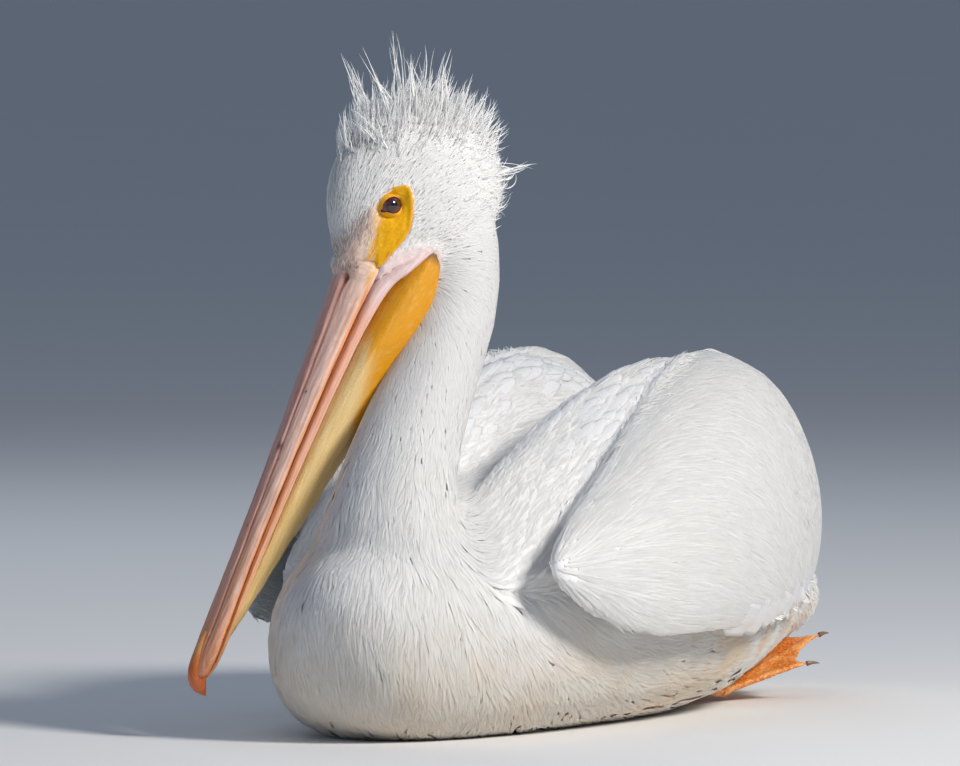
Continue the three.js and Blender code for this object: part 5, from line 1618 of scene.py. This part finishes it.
# -- wings: greater coverts, and the great feathers whose rounded ends make the lower and rear edge
for tag, sgn in (("left", 1), ("right", -1)):
    on = S_WING * (xS * sgn > 0)
    ybk = yS / MM + 252
    rear = step(250, 400, ybk) * step(560, 500, ybk)
    zone = on * rear * step(0.35, 0.60, on)
    P, N, S, half = lines_from_skin(zone, 22, 64, 19, 10, 100 + (sgn > 0), depth=0.72, lift=0.0, wander=0.03, tip=0.24, point=0.55)
    wear(vanes("wing_coverts_" + tag, P, N, S, half, camber=0.07, thick=0.3, seed=101), VANE_WHITE)
    t = np.asarray(WING, float)
    ends, widths_mm, lengths, over = [], [], [], []
    for k in range(16):
        yb_end = 240 + 22.0 * k
        x, z = np.interp(yb_end, t[:, 0], t[:, 4]), np.interp(yb_end, t[:, 0], t[:, 5])
        ends.append((np.array([sgn * (x + 2), yb_end, z + 5]) + SHIFT) * MM)
        widths_mm.append(28 + 3 * math.sin(k * 2.1))
        lengths.append(62 + 22 * min(1, k / 8))
        over.append((2.4 + 1.4 * math.sin(k * 1.7 + 0.6)) * min(1, -0.2 + k / 6))
    for z_off, y_off in ((8, 2), (18, -4), (28, -12)):
        ends.append((np.array([sgn * 40.0, 574 + y_off, 118 + z_off]) + SHIFT) * MM)
        widths_mm.append(22)
        lengths.append(80)
        over.append(5.0)
    P, N, S = back_from(np.array(ends), np.array(lengths), 14, np.array(over), lift=1.0, drop=0.4)
    half = 0.5 * MM * np.array(widths_mm)[:, None] * feather_outline(14, 0.26, 0.35, 0.5)[None]
    wear(vanes("wing_quills_" + tag, P, N, S, half, camber=0.06, thick=0.5, cols=9, seed=103), VANE_QUILL_SHADED)

# -- scapulars along each shoulder's ridge
ridge_zone = S_SHOULDER * step(0.25, 0.7, upness) * step(-0.20, -0.10, yS)
P, N, S, half = lines_from_skin(ridge_zone, 14, 52, 13, 9, 111, lift=1.0, wander=0.08, tip=0.5, point=0.7)
wear(vanes("scapulars", P, N, S, half, camber=0.12, thick=0.4, seed=112), VANE_WHITE)

# -- tail: twelve quills in a shallow fan
table = smooth_rows(TAIL, 13)
ty, tw, tz, tt = table.T
quill = np.linspace(-1, 1, 12)
order = np.argsort(-np.abs(quill))
P, N, S, half = [], [], [], []
s = np.linspace(0, 1, 14)
for k, qv in enumerate(quill):
    reach = 1 - 0.035 * qv * qv - 0.012 * (k % 2)
    yy = np.interp(s * reach, s, ty)
    ww, zz, th = (np.interp(yy, ty, c) for c in (tw, tz, tt))
    x = qv * ww * 0.78
    z = zz - (x / ww) ** 2 * 9 + th * 0.55 - 2.0 * abs(qv) + 0.7 * (1 - abs(qv)) * 2 - 0.0 * s
    z = np.where(np.arange(14) > 9, z - 1.0 * (np.arange(14) - 9), z)
    y = yy - (x / ww) ** 2 * 8
    mid = (np.stack([x, y, z], 1) + SHIFT) * MM
    d = unit(np.gradient(mid, axis=0))
    nrm = unit(np.cross(np.cross(d, UPWARD), d) + 0.25 * np.sign(qv) * abs(qv) * np.array([1.0, 0, 0]))
    P.append(mid)
    N.append(nrm)
    S.append(unit(np.cross(nrm, d)))
    half.append(7.4 * MM * feather_outline(14, 0.16, 0.5, 0.5))
P, N, S, half = (np.array(v) for v in (P, N, S, half))
bake = np.stack([0.1 + 0.05 * np.arange(12), np.full(12, 0.5)], 1)
wear(vanes("tail_quills", P, N, S, half, camber=0.10, thick=0.6, cols=9, seed=121, bake=bake), VANE_WHITE, instead=["tail"])

# -- folded primaries, black, showing beside the tail
for tag, sgn in (("left", 1), ("right", -1)):
    table = smooth_rows(PRIMARIES, 15)
    s = np.linspace(0, 1, 16)
    P, N, S, half = [], [], [], []
    for k in range(7):
        f = k / 6
        reach = 1 - 0.055 * (6 - k)
        yy = np.interp(s * reach, s, table[:, 0])
        x, z, hw, ht, roll = (np.interp(yy, table[:, 0], table[:, c]) for c in (1, 2, 3, 4, 5))
        c, sn = np.cos(np.radians(roll)), np.sin(np.radians(roll))
        across, over = (f - 0.5) * 0.95 * hw, (0.75 - 1.5 * abs(f - 0.4)) * ht
        mid = np.stack([(x + across * c - over * sn) * sgn, yy, z + across * sn + over * c], 1)
        mid = (mid + SHIFT) * MM
        nrm = np.stack([-sn * sgn, 0 * sn, c], 1)
        d = unit(np.gradient(mid, axis=0))
        nrm = unit(nrm - d * (nrm * d).sum(1)[:, None])
        if sgn > 0:
            pass
        P.append(mid)
        N.append(nrm)
        S.append(unit(np.cross(nrm, d)))
        half.append(MM * np.minimum(9.5, hw * 0.62 + 1.2) * feather_outline(16, 0.22, 0.6, 0.6))
    P, N, S, half = (np.array(v) for v in (P, N, S, half))
    wear(vanes("primary_quills_" + tag, P, N, S, half, camber=0.14, thick=0.6, cols=7, seed=131), VANE_BLACK,
         instead=["primaries_" + tag])
said("large feathers")

# ================================================================================ feet
FOOT_SKIN = Nodes("foot_skin")
m = FOOT_SKIN
scales = m.cells(m.scaled(m.place(), (1, 1, 1)), 420.0)
broad = m.noise(scale=60.0, detail=3.0)
base = m.mix(m.span(scales, 0.25, 0.65), (0.86, 0.33, 0.06), (0.60, 0.17, 0.03))
base = m.mix(m.span(broad, 0.45, 0.75, 0.0, 0.55), base, (0.90, 0.52, 0.20))
m.set(Base_Color=base, Roughness=0.42, Normal=m.bump(m.math("MULTIPLY", scales, -1.0), 0.6, 0.0007))
m.shader.inputs["Coat Weight"].default_value = 0.15
CLAW = Nodes("claw")
m = CLAW
m.set(Base_Color=m.mix(m.noise(scale=300.0, detail=3.0), (0.10, 0.05, 0.03), (0.30, 0.17, 0.10)), Roughness=0.35)


def fleshed(node, name, voxel, times):
    """A node's shape with its facets rounded off."""
    shapes[node] = welded(node)
    me = remeshed([node], voxel)
    v, t = arrays(me)
    e = edges_of(me)
    v = averaged(v, e, times)
    n = vertex_normals(v, t)
    fold = waves(v / MM, 5.0, 7, 2)
    v = v + n * (0.14 * fold * MM)[:, None]
    v[:, 2] = np.maximum(v[:, 2], 0.0002)
    me.vertices.foreach_set("co", v.astype(np.float32).ravel())
    me.polygons.foreach_set("use_smooth", np.ones(len(me.polygons), bool))
    me.update()
    me.name = name
    ob = bpy.data.objects.new(name, me)
    bpy.context.scene.collection.objects.link(ob)
    ob.data.uv_layers.new(name="OFBake")
    unwrapped(ob, 0.001)
    return ob


TOES = [(-37, 0.82), (-12, 1.0), (13, 0.97), (38, 0.62)]
FOOT_LENGTH, HEEL, FOOT_OUT, FOOT_RISE = 112, np.array([60, 414, 7.5]), math.radians(-6), math.radians(22)
FOOT_FRAME = np.array(Matrix.Rotation(FOOT_OUT, 3, "Z") @ Matrix.Rotation(FOOT_RISE, 3, "X"))


def claws(tag, sgn):
    verts, faces, base = [], [], 0
    for deg, share in TOES:
        a = math.radians(90 - deg)
        way = np.array([math.cos(a), math.sin(a), 0.0])
        across = np.array([-way[1], way[0], 0.0])
        rings = []
        for k in np.linspace(0, 1, 9):
            mid = way * (share * FOOT_LENGTH * 0.985 + 10.5 * k) + np.array([0, 0, 0.2 - 3.2 * k * k])
            rad = 2.0 * (1 - k) ** 0.7 + 0.12
            turn = np.arange(12) / 12 * 2 * math.pi
            rings.append(mid + across * (np.cos(turn) * rad * 0.8)[:, None] + np.array([0, 0, 1.0]) * (np.sin(turn) * rad)[:, None])
        p = np.array(rings) @ FOOT_FRAME.T + HEEL
        p[..., 0] *= sgn
        p = (p + SHIFT) * MM
        p[..., 2] = np.maximum(p[..., 2], 0.0004)
        v, f = loft(p)
        verts.append(v)
        faces.append([q + base for q in f])
        base += len(v)
    ob = build("claws_" + tag, np.vstack(verts), [np.concatenate([f[0] for f in faces]), np.concatenate([f[1] for f in faces])])
    ob.data.uv_layers.new(name="OFBake")
    unwrapped(ob)
    return ob



for tag, sgn in (("left", 1), ("right", -1)):
    wear(fleshed("foot_" + tag, "webbed_foot_" + tag, 0.0016, 4), FOOT_SKIN.mat, instead=["foot_" + tag])
    wear(fleshed("leg_" + tag, "shank_" + tag, 0.0018, 5), FOOT_SKIN.mat, instead=["leg_" + tag])
    wear(claws(tag, sgn), CLAW.mat)
said("feet")

# =============================================================================== floor
bpy.ops.mesh.primitive_plane_add(size=600, location=(0, 0, 0))
floor = bpy.context.object
floor.name = "floor"
m = Nodes("floor_paint")
m.set(Base_Color=m.mix(m.noise(scale=2.0, detail=3.0), (0.78, 0.785, 0.79), (0.80, 0.805, 0.81)), Roughness=0.85)
floor.data.materials.append(m.mat)
floor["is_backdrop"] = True

# skin: the same markings as the coat, bare yellow and pink on the face
m = Nodes("skin_look")
base = stained(m, (0.88, 0.88, 0.89))
streak = m.noise(scale=420.0, detail=4.0, rough=0.6)
fine = m.noise(scale=1100.0, detail=3.0)
grain = m.node("ShaderNodeCombineXYZ")
m.put(grain.inputs[0], m.attribute("bill_up"))
m.put(grain.inputs[1], m.attribute("bill_along"))
drawn = m.noise(m.scaled(grain.outputs[0], (0.85, 0.12, 1)), 1.0, 4.0, 0.65, 0.6)     # streaks along the face
cream = m.mix(m.span(drawn, 0.36, 0.62), (0.80, 0.56, 0.47), (0.93, 0.78, 0.66))
cream = m.mix(m.span(streak, 0.56, 0.70, 0.0, 0.6), cream, (0.95, 0.84, 0.76))
base = m.mix(m.attribute("cream"), base, cream)
thin = m.mix(m.span(drawn, 0.4, 0.62), (0.44, 0.31, 0.27), (0.70, 0.52, 0.45))
base = m.mix(m.math("MULTIPLY", m.attribute("thin"), 0.8), base, thin)
pink = m.mix(m.span(streak, 0.38, 0.66), (0.90, 0.76, 0.75), (0.80, 0.61, 0.61))
base = m.mix(m.attribute("pink"), base, pink)
gold = m.mix(m.span(streak, 0.35, 0.65), (0.84, 0.455, 0.002), (0.76, 0.35, 0.001))
gold = m.mix(m.span(fine, 0.62, 0.75, 0.0, 0.25), gold, (0.92, 0.60, 0.04))
reach = m.math("ADD", m.attribute("yellow"), m.math("MULTIPLY", m.math("SUBTRACT", drawn, 0.5), 3.0))
soft_edge = m.math("MULTIPLY", m.math("SUBTRACT", 1.0, m.attribute("yellow")), m.attribute("yellow"))
yellowness = m.mix(m.span(soft_edge, 0.0, 0.12), m.attribute("yellow"), m.span(reach, 0.12, 0.90))
base = m.mix(yellowness, base, gold)
rim = m.math("MULTIPLY", m.attribute("edge"), 0.75)
base = m.mix(rim, base, (0.42, 0.15, 0.03))
m.set(Base_Color=base, Roughness=0.5, Normal=m.bump(m.math("ADD", m.math("MULTIPLY", streak, 0.8), m.math("MULTIPLY", fine, 0.4)), 0.5, 0.0005))
m.shader.inputs["Subsurface Weight"].default_value = 0.08
m.shader.inputs["Subsurface Radius"].default_value = (0.003, 0.0015, 0.001)
m.shader.inputs["Subsurface Scale"].default_value = 0.5
m.shader.inputs["Specular IOR Level"].default_value = 0.25
wear(skin, m.mat, instead=FLESH)

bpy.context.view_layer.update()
total = 0
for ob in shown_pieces():
    ob.data.calc_loop_triangles()
    total += len(ob.data.loop_triangles)
    if len(ob.data.loop_triangles) > 150000:
        said("large piece", ob.name, len(ob.data.loop_triangles))
said("all", total, "triangles")
